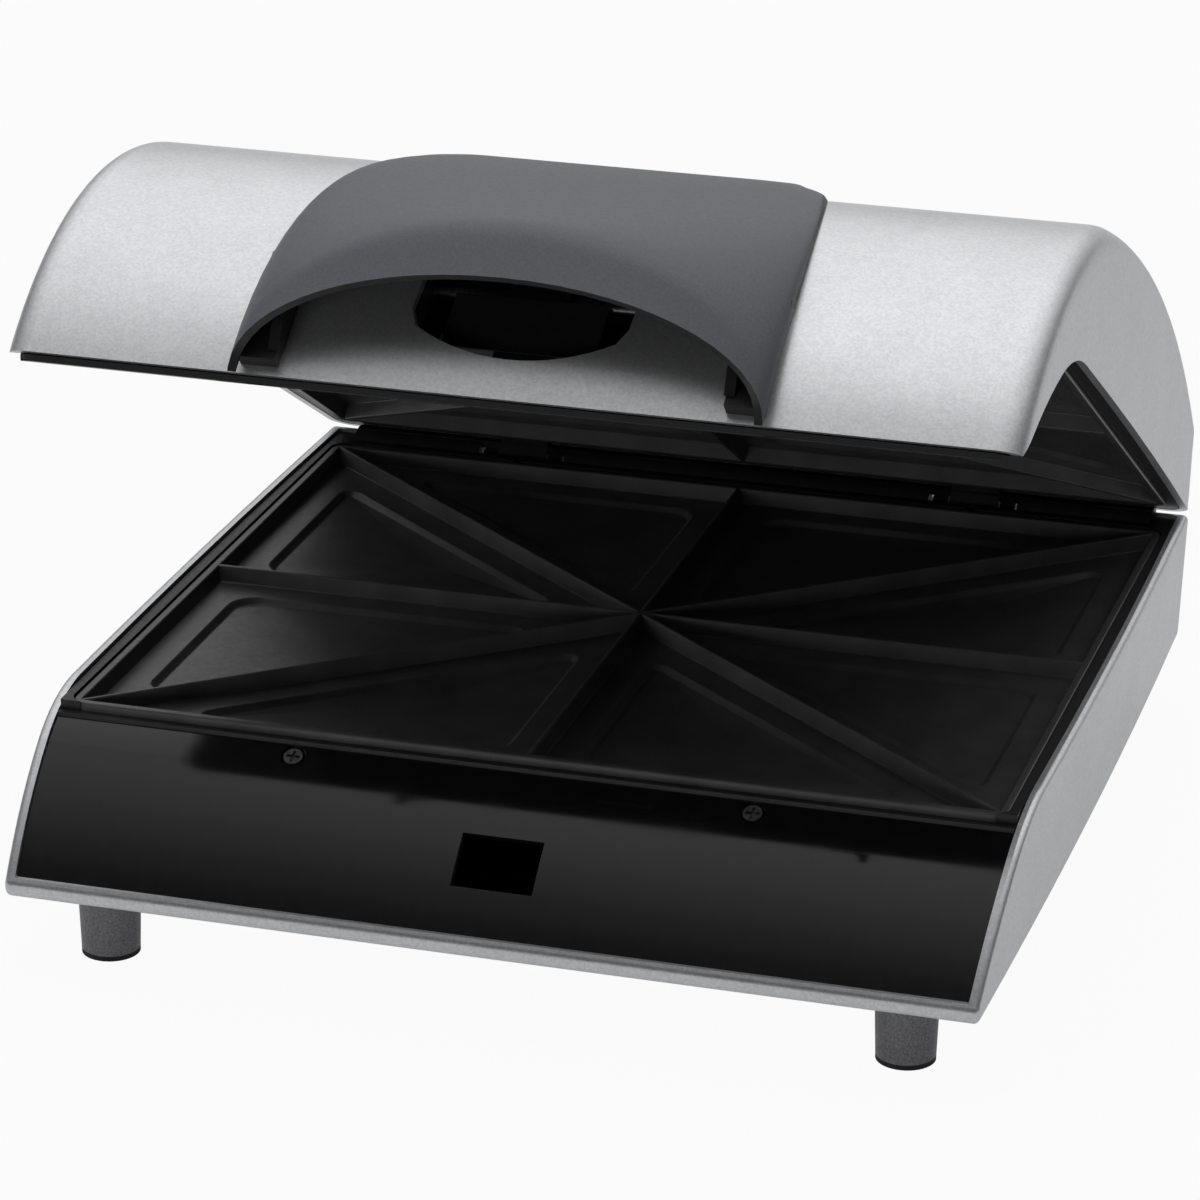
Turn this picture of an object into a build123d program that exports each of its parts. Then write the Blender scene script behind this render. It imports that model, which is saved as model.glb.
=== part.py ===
from build123d import *
import math
import os

os.makedirs("parts", exist_ok=True)

# A four-slice sandwich maker: a low housing with a non-stick plate, and a hinged lid with another.
# X runs to the right, Y to the back and Z up, in millimetres. Every piece is drawn with the lid
# shut, about the middle of the lower plate at the height of its ribs. It's then set on the table,
# and the pieces of the lid are turned open about the hinge.

# Baking plates
plate_width = 278.0
plate_depth = 233.0
plate_thick = 11.5
plate_corner = 5.0
plate_apart = 2.5
rib_top = 1.4
rim_top = 2.6
pocket_wall = 5.0
pocket_draft = 10.0
ledge = 9.0
recess_depth = 4.2
apex_shrink = 0.04
apex_along = 0.5
apex_across = 0.16

# Housing
wall = 3.3
side_bow = 2.0
side_lean = 3.3
body_height = 44.5
rim_rise = 1.5
rim_round = 1.8
corner_round = 2.5
strip_height = 6.0
nose_height = 4.5
strip_proud = 0.5
panel_run = 42.0
panel_gap = 3.0
panel_thick = 2.5
panel_inset = 0.9
joint_gap = 0.3
shoulder_in = 18.5
knee_out = 11.5
knee_drop = 9.0
rear_margin = 13.5
rear_lean = 7.0
flange = 5.0
flange_thick = 1.5
cover_thick = 2.0
cover_recess = 1.2

# Frames round the plates
frame_gap = 0.4
frame_edge = 1.4
frame_below_rim = 1.1
front_lip_drop = 2.5
shelf_wide = 8.0
shelf_thick = 3.0
lid_frame_low = 1.1
front_web = 2.4
slot_wide = 2.2
slot_long = 6.0

# Window for the hook, and the screws of the panel
window_wide = 24.0
window_long = 16.5
window_at = 0.46
panel_screw_x = 68.0
panel_screw_at = 0.83
panel_recess = 7.5
panel_screw_rise = 1.0
tab_long = 12.0
tab_thick = 6.0

# Fasteners
screw_head = 6.4
head_rise = 1.5
screw_shank = 3.0
cross_wide = 0.9
cross_long = 4.0
cross_deep = 0.9
post_radius = 4.5
post_side_in = 11.0
post_front_in = 16.5
post_rear_in = 11.5
plate_screw_in = 3.6
plate_screw_apart = 100.0
plate_screw_bite = 4.0
plate_screw_head = 5.6
lid_screw_bite = 8.0
cover_screw_long = 12.0

# Feet
foot_height = 21.7
pad_thick = 1.5
foot_radius = 9.2
foot_tip_radius = 8.5
foot_front_side = 26.5
foot_front_in = 20.0
foot_rear_side = 19.5
foot_rear_in = 64.0
foot_bore = 3.6
foot_bore_deep = 14.0
foot_boss = 6.0

# Lid
lid_wall = 2.5
lid_gap = 2.0
liner_gap = 1.5
liner_thick = 1.8
liner_show = 2.3
lid_round = 8.0
lid_tip_rise = 8.0
crown_back = 89.1
crown_rise = 34.5
crown_slope = 8.7
roof_end_in = 25.1
roof_end_rise = 22.5
back_corner_in = 12.2
back_corner_rise = 18.75
back_corner_round = 9.0
lid_post_in = 4.0
lid_post_end_in = 21.5
lid_post_radius = 4.0
open_angle = 30.1

# Hinge
hinge_in = 4.0
hinge_drop = 5.5
knuckle_radius = 5.0
knuckle_clear = 7.6
pin_radius = 2.0
pin_play = 0.06
pin_seat = 0.02
hinge_x = 76.0
arm_wide = 16.0
arm_top = 9.0
arm_back_in = 5.6
ear_wide = 5.0
ear_gap = 0.5
ear_side_gap = 1.0
ear_front_gap = 0.7
bracket_thick = 3.0
bracket_low = 20.0
bracket_front_in = 17.5
bracket_screw_apart = 12.0
notch_below = 6.5
strip_radius = 7.2
strip_half = 134.0

# Handle cowl
cowl_half_front = 75.5
cowl_half_rear = 52.0
cowl_round_rear = 9.0
cowl_flat_front = 2.0
cowl_thick = 3.0
cowl_rear_back = 24.0
cowl_rear_proud = 7.2
cowl_bend_front = 11.0
cowl_bend_proud = 4.3
crease_out = 8.7
crease_rise = 47.3
crease_slope = 28.7
cowl_steps = 7
cowl_tip_out = 5.3
cowl_tip_drop = -0.7
lip_out = 5.9
lip_drop = 16.9
lip_tip_drop = 1.6
cowl_seat = 0.2
cowl_pillar_x = 42.0
cowl_pillar_back = 8.0
cowl_screw_bite = 3.2
cowl_screw_gap = 0.6
rib_out = 66.0
rib_thick = 3.0
rib_first = 0.62
rib_last = 0.97

# Finger well and latch
well_half = 31.0
well_floor_up = 19.8
well_corner_up = 27.5
well_side_up = 32.5
well_corner_half = 28.5
well_top = 18.0
well_wall = 2.0
well_gap = 0.3
well_front_in = 5.0
well_back_in = 34.0
latch_in = 25.0
latch_z = -1.0
latch_boss = 4.0
latch_pin_radius = 1.5
latch_pin_play = 0.1
latch_stem_wide = 18.0
latch_stem_in = 14.7
latch_stem_thick = 4.0
latch_nose_long = 7.1
latch_nose_up = 18.5
latch_nose_high = 5.0
latch_pad_half = 22.0
latch_pad_in = 9.0
liner_slot_half = 26.0
liner_slot_in = 6.0
liner_slot_long = 17.5

# Heaters
tube_radius = 3.25
tube_side_in = 43.0
tube_front_in = 38.5
tube_bend = 14.0
tube_end_x = 24.0
tube_end_in = 13.5
tube_play = 0.4
lead_radius = 1.5
lead_long = 5.0
clamp_wide = 16.0
clamp_long = 10.0
clamp_over = 1.6
tray_side_in = 17.0
tray_end_in = 19.5
tray_deep = 9.0
sheet = 0.8
tray_screw_x = 70.0
tray_screw_y = 60.0
thermostat_x = 50.0
thermostat_y = -30.0
thermostat_radius = 9.0
thermostat_high = 7.0
fuse_radius = 2.0
fuse_long = 16.0

# Power inlet
bush_x = 100.0
bush_drop = 28.0
bush_neck = 5.5
bush_flange = 8.0
bush_flange_thick = 2.0
bush_bore = 3.3
block_x = 62.0
block_in = 16.5
block_long = 36.0
block_wide = 16.0
block_high = 12.0
wire_radius = 1.1
wire_level = -32.0

# Places that follow from the sizes above
front_reach = plate_depth / 2 + panel_gap + panel_run + strip_proud
rim_back = plate_depth / 2 + rear_margin
back_reach = rim_back + rear_lean
plate_y = (front_reach - back_reach) / 2
under = rim_rise - body_height
strip_top = under + strip_height
cover_low = under + cover_recess
cover_top = cover_low + cover_thick
flange_top = cover_top + flange_thick
rib_level = foot_height + pad_thick - cover_low
cavity_half = plate_width / 2 + frame_gap + frame_edge + frame_gap
body_half = cavity_half + wall
panel_end_y = -(plate_depth / 2 + panel_gap)
shoulder_y = -(plate_depth / 2 - shoulder_in)
knee_y = -(plate_depth / 2 + knee_out)
knee_z = rim_rise - knee_drop
frame_front_y = panel_end_y + joint_gap
frame_top = rim_rise - frame_below_rim
shelf_low = -plate_thick - shelf_thick
opening_x = plate_width / 2 + frame_gap
opening_y = plate_depth / 2 + frame_gap
hinge_y = rim_back - hinge_in
hinge_z = rim_rise - hinge_drop
post_x = plate_width / 2 - post_side_in
post_front_y = -plate_depth / 2 + post_front_in
post_rear_y = plate_depth / 2 - post_rear_in
plate_screw_x = plate_width / 2 - plate_screw_in
plate_screw_y = plate_screw_apart / 2
lid_post_x = plate_width / 2 - lid_post_in
lid_post_y = plate_depth / 2 - lid_post_end_in
foot_front_x = body_half - foot_front_side
foot_rear_x = body_half - foot_rear_side
crown_y = -front_reach + crown_back
cowl_rear_y = crown_y + cowl_rear_back
cowl_bend_y = crown_y - cowl_bend_front
cowl_pillar_y = crown_y + cowl_pillar_back
well_floor = under + well_floor_up
well_corner_z = under + well_corner_up
well_side_z = under + well_side_up
well_front_y = -front_reach + well_front_in
well_back_y = -front_reach + well_back_in
latch_y = -front_reach + latch_in
latch_stem_front = -front_reach + latch_stem_in
latch_stem_back = latch_stem_front + latch_stem_thick
latch_nose_back = latch_stem_front + latch_nose_long
latch_nose_low = under + latch_nose_up
latch_nose_top = latch_nose_low + latch_nose_high
latch_pad_y = -front_reach + latch_pad_in
liner_slot_front = -front_reach + liner_slot_in
liner_slot_back = liner_slot_front + liner_slot_long
tube_half_x = plate_width / 2 - tube_side_in
tube_half_y = plate_depth / 2 - tube_front_in
tube_end_y = plate_depth / 2 - tube_end_in
tray_half_x = plate_width / 2 - tray_side_in
tray_half_y = plate_depth / 2 - tray_end_in
block_y = plate_depth / 2 - block_in
upper_back = plate_apart + plate_thick
lid_low = rim_rise + lid_gap
lid_tip_y = -(front_reach + lid_gap + lid_wall)
lid_tip_z = under + lid_tip_rise
crown_z = upper_back + crown_rise
back_wall_high = upper_back + back_corner_rise - lid_low
notch_half = arm_wide / 2 + ear_gap + ear_wide + ear_side_gap
far = 3 * front_reach
post_spots = [(side * post_x, y) for side in (-1, 1) for y in (post_front_y, post_rear_y)]
foot_spots = {
    "front_left": (-foot_front_x, -front_reach + foot_front_in),
    "front_right": (foot_front_x, -front_reach + foot_front_in),
    "rear_left": (-foot_rear_x, back_reach - foot_rear_in),
    "rear_right": (foot_rear_x, back_reach - foot_rear_in),
}
arm_back_y = rim_back - arm_back_in
bracket_seat = bracket_low - bracket_thick + shelf_low
bracket_front_y = rim_back - bracket_front_in - ear_wide / 2
bracket_seat_y = (bracket_front_y + opening_y) / 2
bracket_seat_deep = opening_y - bracket_front_y
bracket_screw_spots = [
    (side * hinge_x + apart * bracket_screw_apart / 2, bracket_seat_y)
    for side in (-1, 1)
    for apart in (-1, 1)
]

# Where the pieces go: on the table, and for the lid also turned open about the hinge
on_table = Location((0, plate_y, rib_level))
hinge_line = Location((0, hinge_y, hinge_z))
lid_open = on_table * hinge_line * Location((0, 0, 0), (-open_angle, 0, 0)) * hinge_line.inverse()


def finish(piece, label, place):
    """Set a piece in its place, give it its name and write it."""
    piece.part = piece.part.moved(place)
    piece.part.label = label
    export_step(piece.part, f"parts/{label}.step")


def bowed_plan(half, front, back):
    """Plan with gently bowed sides, from a front station to a back one."""
    with BuildSketch() as plan:
        with BuildLine():
            right = ThreePointArc((half, front), (half + side_bow, (front + back) / 2), (half, back))
            left = ThreePointArc((-half, front), (-half - side_bow, (front + back) / 2), (-half, back))
            Line(right @ 0, left @ 0)
            Line(right @ 1, left @ 1)
        make_face()
    return plan.sketch


def housing_block(profile, inset):
    """A side profile as wide as the housing, less an inset at each side, leaning in downwards."""
    above = 6.0
    spread = above * math.tan(math.radians(side_lean))
    plan = bowed_plan(body_half - inset + spread, -front_reach - above, back_reach + above)
    with BuildPart() as block:
        with BuildSketch(Plane.YZ):
            add(profile)
        extrude(amount=far, both=True)
        with BuildSketch(Plane.XY.offset(rim_rise + above)):
            add(plan)
        extrude(amount=-body_height - 2 * above, taper=side_lean, mode=Mode.INTERSECT)
    return block.part


def lid_block(profile, inset, rounding):
    """A side profile as wide as the lid, less an inset at each side, its end edges rounded."""
    above = 6.0
    plan = bowed_plan(body_half - inset, -front_reach - above, back_reach)
    with BuildPart() as block:
        with BuildSketch(Plane.YZ):
            add(profile)
        extrude(amount=far, both=True)
        with BuildSketch(Plane.XY):
            add(plan)
        extrude(amount=far, both=True, mode=Mode.INTERSECT)
        if rounding > 0:
            ends = block.faces().filter_by(lambda face: abs(face.center().X) > cavity_half / 2)
            low = block.vertices().sort_by(Axis.Z)[0].Z
            loop = ends.edges().filter_by(lambda edge: edge.center().Z > low + 1)
            fillet(loop, rounding)
    return block.part


def screw(length, shank=screw_shank, head=screw_head, rise=head_rise):
    """A screw with its head up from the origin, its shank down and a cross in the head."""
    with BuildPart() as made:
        with BuildSketch():
            Circle(head / 2)
        extrude(amount=rise)
        with BuildSketch():
            Circle(shank / 2)
        extrude(amount=-length)
        with BuildSketch(Plane.XY.offset(rise)):
            Rectangle(cross_long, cross_wide)
            Rectangle(cross_wide, cross_long)
        extrude(amount=-cross_deep, mode=Mode.SUBTRACT)
    return made.part


def facing(point, direction):
    """Place for a screw whose head looks along a direction."""
    return Plane(origin=point, x_dir=(1, 0, 0), z_dir=direction).location


# Side profiles, drawn flat with Y across and Z up

with BuildSketch() as housing_side:
    with BuildLine():
        shoulder = TangentArc((shoulder_y, rim_rise), (knee_y, knee_z), tangent=(-1, 0))
        nose = TangentArc(shoulder @ 1, (-front_reach, under + nose_height), tangent=shoulder % 1)
        Polyline(
            nose @ 1,
            (-front_reach, under),
            (back_reach, under),
            (rim_back, rim_rise),
            shoulder @ 0,
        )
    make_face()
    fillet(housing_side.vertices().group_by(Axis.Y)[0], corner_round)
    fillet(housing_side.vertices().sort_by_distance(Vector(rim_back, rim_rise))[0], corner_round)
    fillet(housing_side.vertices().sort_by_distance(nose @ 1)[0], corner_round)


def grown(sketch, amount):
    """A profile with its outline moved out, or in where the amount is below zero."""
    with BuildSketch() as made:
        add(sketch)
        offset(amount=amount)
    return made.sketch


def region(front, back, low, high):
    """Rectangle between two stations and two levels of a side profile."""
    with BuildSketch() as made:
        with Locations(((front + back) / 2, (low + high) / 2)):
            Rectangle(back - front, high - low)
    return made.sketch


def rear_inside(level):
    """Station of the rear wall's inner face at a level."""
    return rim_back - wall + rear_lean * (rim_rise - level) / body_height


with BuildSketch() as cavity_side:
    with BuildLine():
        Polyline(
            (-front_reach + wall, flange_top),
            (-front_reach + wall, strip_top),
            (-far, strip_top),
            (-far, far),
            (rear_inside(rim_rise), far),
            (rear_inside(rim_rise), rim_rise),
            (rear_inside(flange_top), flange_top),
            close=True,
        )
    make_face()

with BuildSketch() as lid_side:
    with BuildLine():
        cosine = math.cos(math.radians(crown_slope))
        sine = math.sin(math.radians(crown_slope))
        lid_front = TangentArc((crown_y, crown_z), (lid_tip_y, lid_tip_z), tangent=(-cosine, -sine))
        skirt = Line(lid_front @ 1, lid_front @ 1 + (lid_front % 1) * front_reach / 5)
        lid_roof = TangentArc(
            (crown_y, crown_z),
            (rim_back - roof_end_in, upper_back + roof_end_rise),
            tangent=(cosine, sine),
        )
        Polyline(
            lid_roof @ 1,
            (rim_back - back_corner_in, upper_back + back_corner_rise),
            (rim_back + back_corner_in * (lid_low - (skirt @ 1).Y) / back_wall_high, (skirt @ 1).Y),
            skirt @ 1,
        )
    make_face()
    fillet(
        lid_side.vertices().sort_by_distance(
            Vector(rim_back - back_corner_in, upper_back + back_corner_rise)
        )[0],
        back_corner_round,
    )

lid_centre = Vector(lid_front.arc_center.X, lid_front.arc_center.Y)
lid_radius = lid_front.radius

# The space that the shut lid leaves over the housing
with BuildSketch() as notch_side:
    add(grown(housing_side.sketch, lid_gap))
    add(region(-far, 0, -far, lid_tip_z))
    add(region(0, far, -far, lid_low))
    add(region(shoulder_y, far, -far, lid_low))

# Base: housing

housing_shape = housing_block(housing_side.sketch, 0)
housing_cavity = housing_block(cavity_side.sketch, wall)
flange_hole = housing_block(
    region(-front_reach + wall + flange, rear_inside(cover_top) - flange, cover_low, strip_top),
    wall + flange,
)
cover_hole = housing_block(
    region(-front_reach + wall, rear_inside(cover_low), under - 1, cover_top), wall
)
rear_slope = math.atan2(rear_lean, body_height)
rear_normal = (0, math.cos(rear_slope), math.sin(rear_slope))
bush_y = rim_back + rear_lean * (rim_rise + bush_drop) / body_height
bush_plane = Plane(origin=(bush_x, bush_y, -bush_drop), x_dir=(1, 0, 0), z_dir=rear_normal)
rear_wall_through = wall * math.cos(rear_slope)

with BuildPart() as base_housing:
    add(housing_shape)
    rims = base_housing.faces().filter_by(lambda face: abs(face.center().X) > cavity_half / 2)
    fillet(rims.edges(), rim_round)
    add(housing_cavity, mode=Mode.SUBTRACT)
    add(flange_hole, mode=Mode.SUBTRACT)
    add(cover_hole, mode=Mode.SUBTRACT)
    with BuildSketch(Plane.XY.offset(hinge_z - notch_below)):
        with Locations((hinge_x, rim_back), (-hinge_x, rim_back)):
            Rectangle(2 * notch_half, 4 * wall)
    extrude(amount=far, mode=Mode.SUBTRACT)
    with BuildSketch(bush_plane):
        Circle(bush_neck)
    extrude(amount=-2 * wall, mode=Mode.SUBTRACT)

# Base: gloss panel with the window and its two screws


def on_panel(edge, fraction):
    """Plane on the panel's outer face, a fraction of the way down one arc of the front."""
    spot = edge @ fraction
    along = edge % fraction
    outward = Vector(0, along.Y, -along.X)
    return Plane(
        origin=Vector(0, spot.X, spot.Y) - outward * panel_inset, x_dir=(1, 0, 0), z_dir=outward
    )


window_plane = on_panel(nose, window_at)
panel_screw_plane = on_panel(shoulder, panel_screw_at)

with BuildSketch() as panel_side:
    add(grown(housing_side.sketch, -panel_inset))
    add(grown(housing_side.sketch, -panel_inset - panel_thick), mode=Mode.SUBTRACT)
    add(region(-far, panel_end_y, strip_top, rim_rise), mode=Mode.INTERSECT)

panel_shape = housing_block(panel_side.sketch, wall + joint_gap)

with BuildPart() as front_panel:
    add(panel_shape)
    with BuildSketch(window_plane):
        Rectangle(window_wide, window_long)
    extrude(amount=-4 * panel_thick, mode=Mode.SUBTRACT)
    with BuildSketch(panel_screw_plane.offset(-panel_thick / 2)):
        with Locations((panel_screw_x, 0), (-panel_screw_x, 0)):
            Circle(panel_recess / 2)
    extrude(amount=2 * panel_thick, mode=Mode.SUBTRACT)
    with BuildSketch(panel_screw_plane):
        with Locations((panel_screw_x, 0), (-panel_screw_x, 0)):
            Circle(screw_shank / 2)
    extrude(amount=-2 * panel_thick, mode=Mode.SUBTRACT)

panel_screw_seat = panel_screw_plane.offset(-panel_thick / 2)

with BuildPart() as panel_screws:
    with Locations(
        facing(panel_screw_seat.origin + Vector(panel_screw_x, 0, 0), panel_screw_seat.z_dir),
        facing(panel_screw_seat.origin - Vector(panel_screw_x, 0, 0), panel_screw_seat.z_dir),
    ):
        add(screw(panel_thick / 2 + tab_thick, head=plate_screw_head, rise=panel_screw_rise))

# Base: baking plate, its pockets cut from a solid casting


def pocket_corners(inset):
    """Corners of the two pockets in the right rear quarter, each side drawn in by an inset."""
    rib = rib_top / 2 + inset
    end_x = plate_width / 2 - rim_top - inset
    end_y = plate_depth / 2 - rim_top - inset
    turn = math.atan2(plate_depth, plate_width)
    rise = math.sin(turn)
    run = math.cos(turn)
    beside = [((rib + rib * run) / rise, rib), (end_x, rib), (end_x, (end_x * rise - rib) / run)]
    behind = [(rib, (rib + rib * rise) / run), (rib, end_y), ((end_y * run - rib) / rise, end_y)]
    return beside, behind


def all_pockets(inset):
    """Corners of all eight pockets, the right angle in the middle of each list."""
    beside, behind = pocket_corners(inset)
    return [
        [(x * side, y * back) for x, y in corners]
        for side in (1, -1)
        for back in (1, -1)
        for corners in (beside, behind)
    ]


def shrunk(corners):
    """The small face at a recess's deepest point, near the middle of its longest side."""
    inner, square, outer = [Vector(x, y) for x, y in corners]
    middle = inner + (outer - inner) * apex_along
    deepest = middle + (square - middle) * apex_across
    return [deepest + (corner - deepest) * apex_shrink for corner in (inner, square, outer)]


recess_inset = pocket_wall * math.tan(math.radians(pocket_draft)) + ledge

with BuildPart() as lower_plate:
    with BuildSketch(Plane.XY):
        RectangleRounded(plate_width, plate_depth, plate_corner)
    extrude(amount=-plate_thick)
    with BuildSketch(Plane.XY):
        for corners in all_pockets(0):
            with BuildLine():
                Polyline(*corners, close=True)
            make_face()
    extrude(amount=-pocket_wall, taper=pocket_draft, mode=Mode.SUBTRACT)
    for corners in all_pockets(recess_inset):
        with BuildSketch(Plane.XY.offset(-pocket_wall)):
            with BuildLine():
                Polyline(*corners, close=True)
            make_face()
        with BuildSketch(Plane.XY.offset(-pocket_wall - recess_depth)):
            with BuildLine():
                Polyline(*shrunk(corners), close=True)
            make_face()
        loft(mode=Mode.SUBTRACT)
    with BuildSketch(Plane.XY.offset(-plate_thick)):
        with GridLocations(2 * plate_screw_x, 2 * plate_screw_y, 2, 2):
            Circle(screw_shank / 2)
    extrude(amount=plate_screw_bite, mode=Mode.SUBTRACT)
    with BuildSketch(Plane.XY.offset(-plate_thick)):
        with Locations((tray_screw_x, 0), (-tray_screw_x, 0), (0, tray_screw_y), (0, -tray_screw_y)):
            Circle(screw_shank / 2)
    extrude(amount=plate_screw_bite, mode=Mode.SUBTRACT)

between_plates = Plane.XY.offset(plate_apart / 2)

with BuildPart() as upper_plate:
    add(mirror(lower_plate.part, about=between_plates))

# Base: black frame round the plate, with posts down to the cover

frame_block = housing_block(
    region(frame_front_y, rear_inside(rim_rise) - frame_gap, shelf_low, frame_top), wall + frame_gap
)

with BuildSketch() as tab_side:
    add(grown(housing_side.sketch, -panel_inset - panel_thick))
    add(
        region(frame_front_y - tab_long, frame_front_y + frame_edge, shelf_low, rim_rise),
        mode=Mode.INTERSECT,
    )

# The round-topped strip behind the plate, which closes the view between base and lid
with BuildSketch() as strip_side:
    with Locations((hinge_y, hinge_z)):
        Circle(strip_radius)
    add(
        region(hinge_y - strip_radius, rear_inside(rim_rise) - frame_gap, frame_top - wall, far),
        mode=Mode.INTERSECT,
    )

with BuildPart() as lower_frame:
    add(frame_block)
    with BuildSketch(Plane.XY.offset(-front_lip_drop)):
        with Locations((0, -opening_y - front_web / 2)):
            Rectangle(far, front_web + joint_gap * 2)
    extrude(amount=far, mode=Mode.SUBTRACT)
    with BuildSketch(Plane.XY.offset(-plate_thick)):
        RectangleRounded(2 * opening_x, 2 * opening_y, plate_corner + frame_gap)
    extrude(amount=far, mode=Mode.SUBTRACT)
    with BuildSketch(Plane.XY.offset(shelf_low)):
        RectangleRounded(2 * (opening_x - shelf_wide), 2 * (opening_y - shelf_wide), plate_corner)
    extrude(amount=shelf_thick, mode=Mode.SUBTRACT)
    with BuildSketch(Plane.YZ):
        add(strip_side.sketch)
    extrude(amount=strip_half, both=True)
    with BuildSketch(Plane.XY.offset(shelf_low)):
        with Locations(*post_spots):
            Circle(post_radius)
    extrude(amount=cover_top - shelf_low)
    with BuildSketch(Plane.YZ.offset(-panel_screw_x)):
        add(tab_side.sketch)
    extrude(amount=panel_recess, both=True)
    with BuildSketch(Plane.YZ.offset(panel_screw_x)):
        add(tab_side.sketch)
    extrude(amount=panel_recess, both=True)
    with BuildSketch(Plane.XY.offset(shelf_low - bracket_seat)):
        with Locations((hinge_x, bracket_seat_y), (-hinge_x, bracket_seat_y)):
            Rectangle(2 * bracket_screw_apart, bracket_seat_deep)
    extrude(amount=bracket_seat)
    with BuildSketch(Plane.XY.offset(shelf_low)):
        with Locations((hinge_x, hinge_y), (-hinge_x, hinge_y)):
            Rectangle(2 * notch_half, 2 * (knuckle_radius + ear_front_gap))
    extrude(amount=far, mode=Mode.SUBTRACT)
    with BuildSketch(Plane.XY.offset(frame_top)):
        with Locations((hinge_x, opening_y + frame_edge), (-hinge_x, opening_y + frame_edge)):
            Rectangle(slot_wide, 2 * frame_edge)
    extrude(amount=-slot_long, mode=Mode.SUBTRACT)
    with BuildSketch(panel_screw_plane):
        with Locations((panel_screw_x, 0), (-panel_screw_x, 0)):
            Circle(screw_shank / 2)
    extrude(amount=-panel_thick - tab_thick, mode=Mode.SUBTRACT)
    with BuildSketch(Plane.XY.offset(cover_top)):
        with Locations(*post_spots):
            Circle(screw_shank / 2)
    extrude(amount=cover_screw_long, mode=Mode.SUBTRACT)
    with BuildSketch(Plane.XY.offset(shelf_low)):
        with GridLocations(2 * plate_screw_x, 2 * plate_screw_y, 2, 2):
            Circle(screw_shank / 2)
    extrude(amount=shelf_thick, mode=Mode.SUBTRACT)
    with BuildSketch(Plane.XY.offset(shelf_low - bracket_seat)):
        with Locations(*bracket_screw_spots):
            Circle(screw_shank / 2)
    extrude(amount=bracket_seat + shelf_thick - sheet, mode=Mode.SUBTRACT)

# Both plates: heater, clamps, reflector tray, screws and thermal fuse. The lid's set is the mirror
# image of the base's.

tube_level = -plate_thick - tube_radius

with BuildLine(Plane.XY.offset(tube_level)) as heater_line:
    FilletPolyline(
        (tube_end_x, tube_end_y),
        (tube_end_x, tube_half_y),
        (tube_half_x, tube_half_y),
        (tube_half_x, -tube_half_y),
        (-tube_half_x, -tube_half_y),
        (-tube_half_x, tube_half_y),
        (-tube_end_x, tube_half_y),
        (-tube_end_x, tube_end_y),
        radius=tube_bend,
    )


with BuildPart() as lower_element:
    with BuildSketch(Plane(origin=(tube_end_x, tube_end_y, tube_level), z_dir=(0, -1, 0))):
        Circle(tube_radius)
    sweep(path=heater_line.line)
    with BuildSketch(Plane.XZ.offset(-tube_end_y)):
        with Locations((tube_end_x, tube_level), (-tube_end_x, tube_level)):
            Circle(lead_radius)
    extrude(amount=-lead_long)

with BuildPart() as lower_element_clamps:
    with BuildSketch(Plane.XY.offset(-plate_thick)):
        with Locations((tube_half_x, 0), (-tube_half_x, 0)):
            Rectangle(clamp_wide, clamp_long)
        with Locations((0, -tube_half_y)):
            Rectangle(clamp_long, clamp_wide)
    extrude(amount=-2 * tube_radius - clamp_over)
    with BuildSketch(Plane.XY.offset(-plate_thick)):
        with Locations((tube_half_x, 0), (-tube_half_x, 0)):
            Rectangle(2 * tube_radius, clamp_long)
        with Locations((0, -tube_half_y)):
            Rectangle(clamp_long, 2 * tube_radius)
    extrude(amount=-2 * tube_radius, mode=Mode.SUBTRACT)

with BuildPart() as lower_tray:
    with BuildSketch(Plane.XY.offset(-plate_thick)):
        RectangleRounded(2 * tray_half_x, 2 * tray_half_y, plate_corner)
    extrude(amount=-tray_deep)
    with BuildSketch(Plane.XY.offset(-plate_thick)):
        RectangleRounded(2 * (tray_half_x - sheet), 2 * (tray_half_y - sheet), plate_corner - sheet)
    extrude(amount=sheet - tray_deep, mode=Mode.SUBTRACT)
    with BuildSketch(Plane.XZ.offset(-tray_half_y - 1)):
        with Locations((tube_end_x, tube_level), (-tube_end_x, tube_level)):
            Circle(tube_radius + tube_play)
    extrude(amount=2 * sheet + 1, mode=Mode.SUBTRACT)
    with BuildSketch(Plane.XY.offset(-plate_thick)):
        with Locations((tray_screw_x, 0), (-tray_screw_x, 0), (0, tray_screw_y), (0, -tray_screw_y)):
            Circle(screw_shank / 2)
    extrude(amount=-tray_deep, mode=Mode.SUBTRACT)

with BuildPart() as lower_tray_screws:
    with Locations(
        facing((tray_screw_x, 0, -plate_thick - tray_deep), (0, 0, -1)),
        facing((-tray_screw_x, 0, -plate_thick - tray_deep), (0, 0, -1)),
        facing((0, tray_screw_y, -plate_thick - tray_deep), (0, 0, -1)),
        facing((0, -tray_screw_y, -plate_thick - tray_deep), (0, 0, -1)),
    ):
        add(screw(tray_deep + plate_screw_bite))

with BuildPart() as lower_plate_screws:
    with Locations(
        *[
            facing((side * plate_screw_x, back * plate_screw_y, shelf_low), (0, 0, -1))
            for side in (1, -1)
            for back in (1, -1)
        ]
    ):
        add(screw(shelf_thick + plate_screw_bite, head=plate_screw_head))

with BuildPart() as lower_thermal_fuse:
    with BuildSketch(Plane.YZ.offset(-thermostat_x)):
        with Locations((thermostat_y, -plate_thick - fuse_radius)):
            Circle(fuse_radius)
    extrude(amount=fuse_long / 2, both=True)

with BuildPart() as thermostat:
    with BuildSketch(Plane.XY.offset(-plate_thick)):
        with Locations((thermostat_x, thermostat_y)):
            Circle(thermostat_radius)
    extrude(amount=-thermostat_high)
    with BuildSketch(Plane.XY.offset(-plate_thick - thermostat_high / 2)):
        with Locations((thermostat_x, thermostat_y)):
            Rectangle(2 * thermostat_radius + 4 * fuse_radius, 2 * fuse_radius)
    extrude(amount=sheet)

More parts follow.
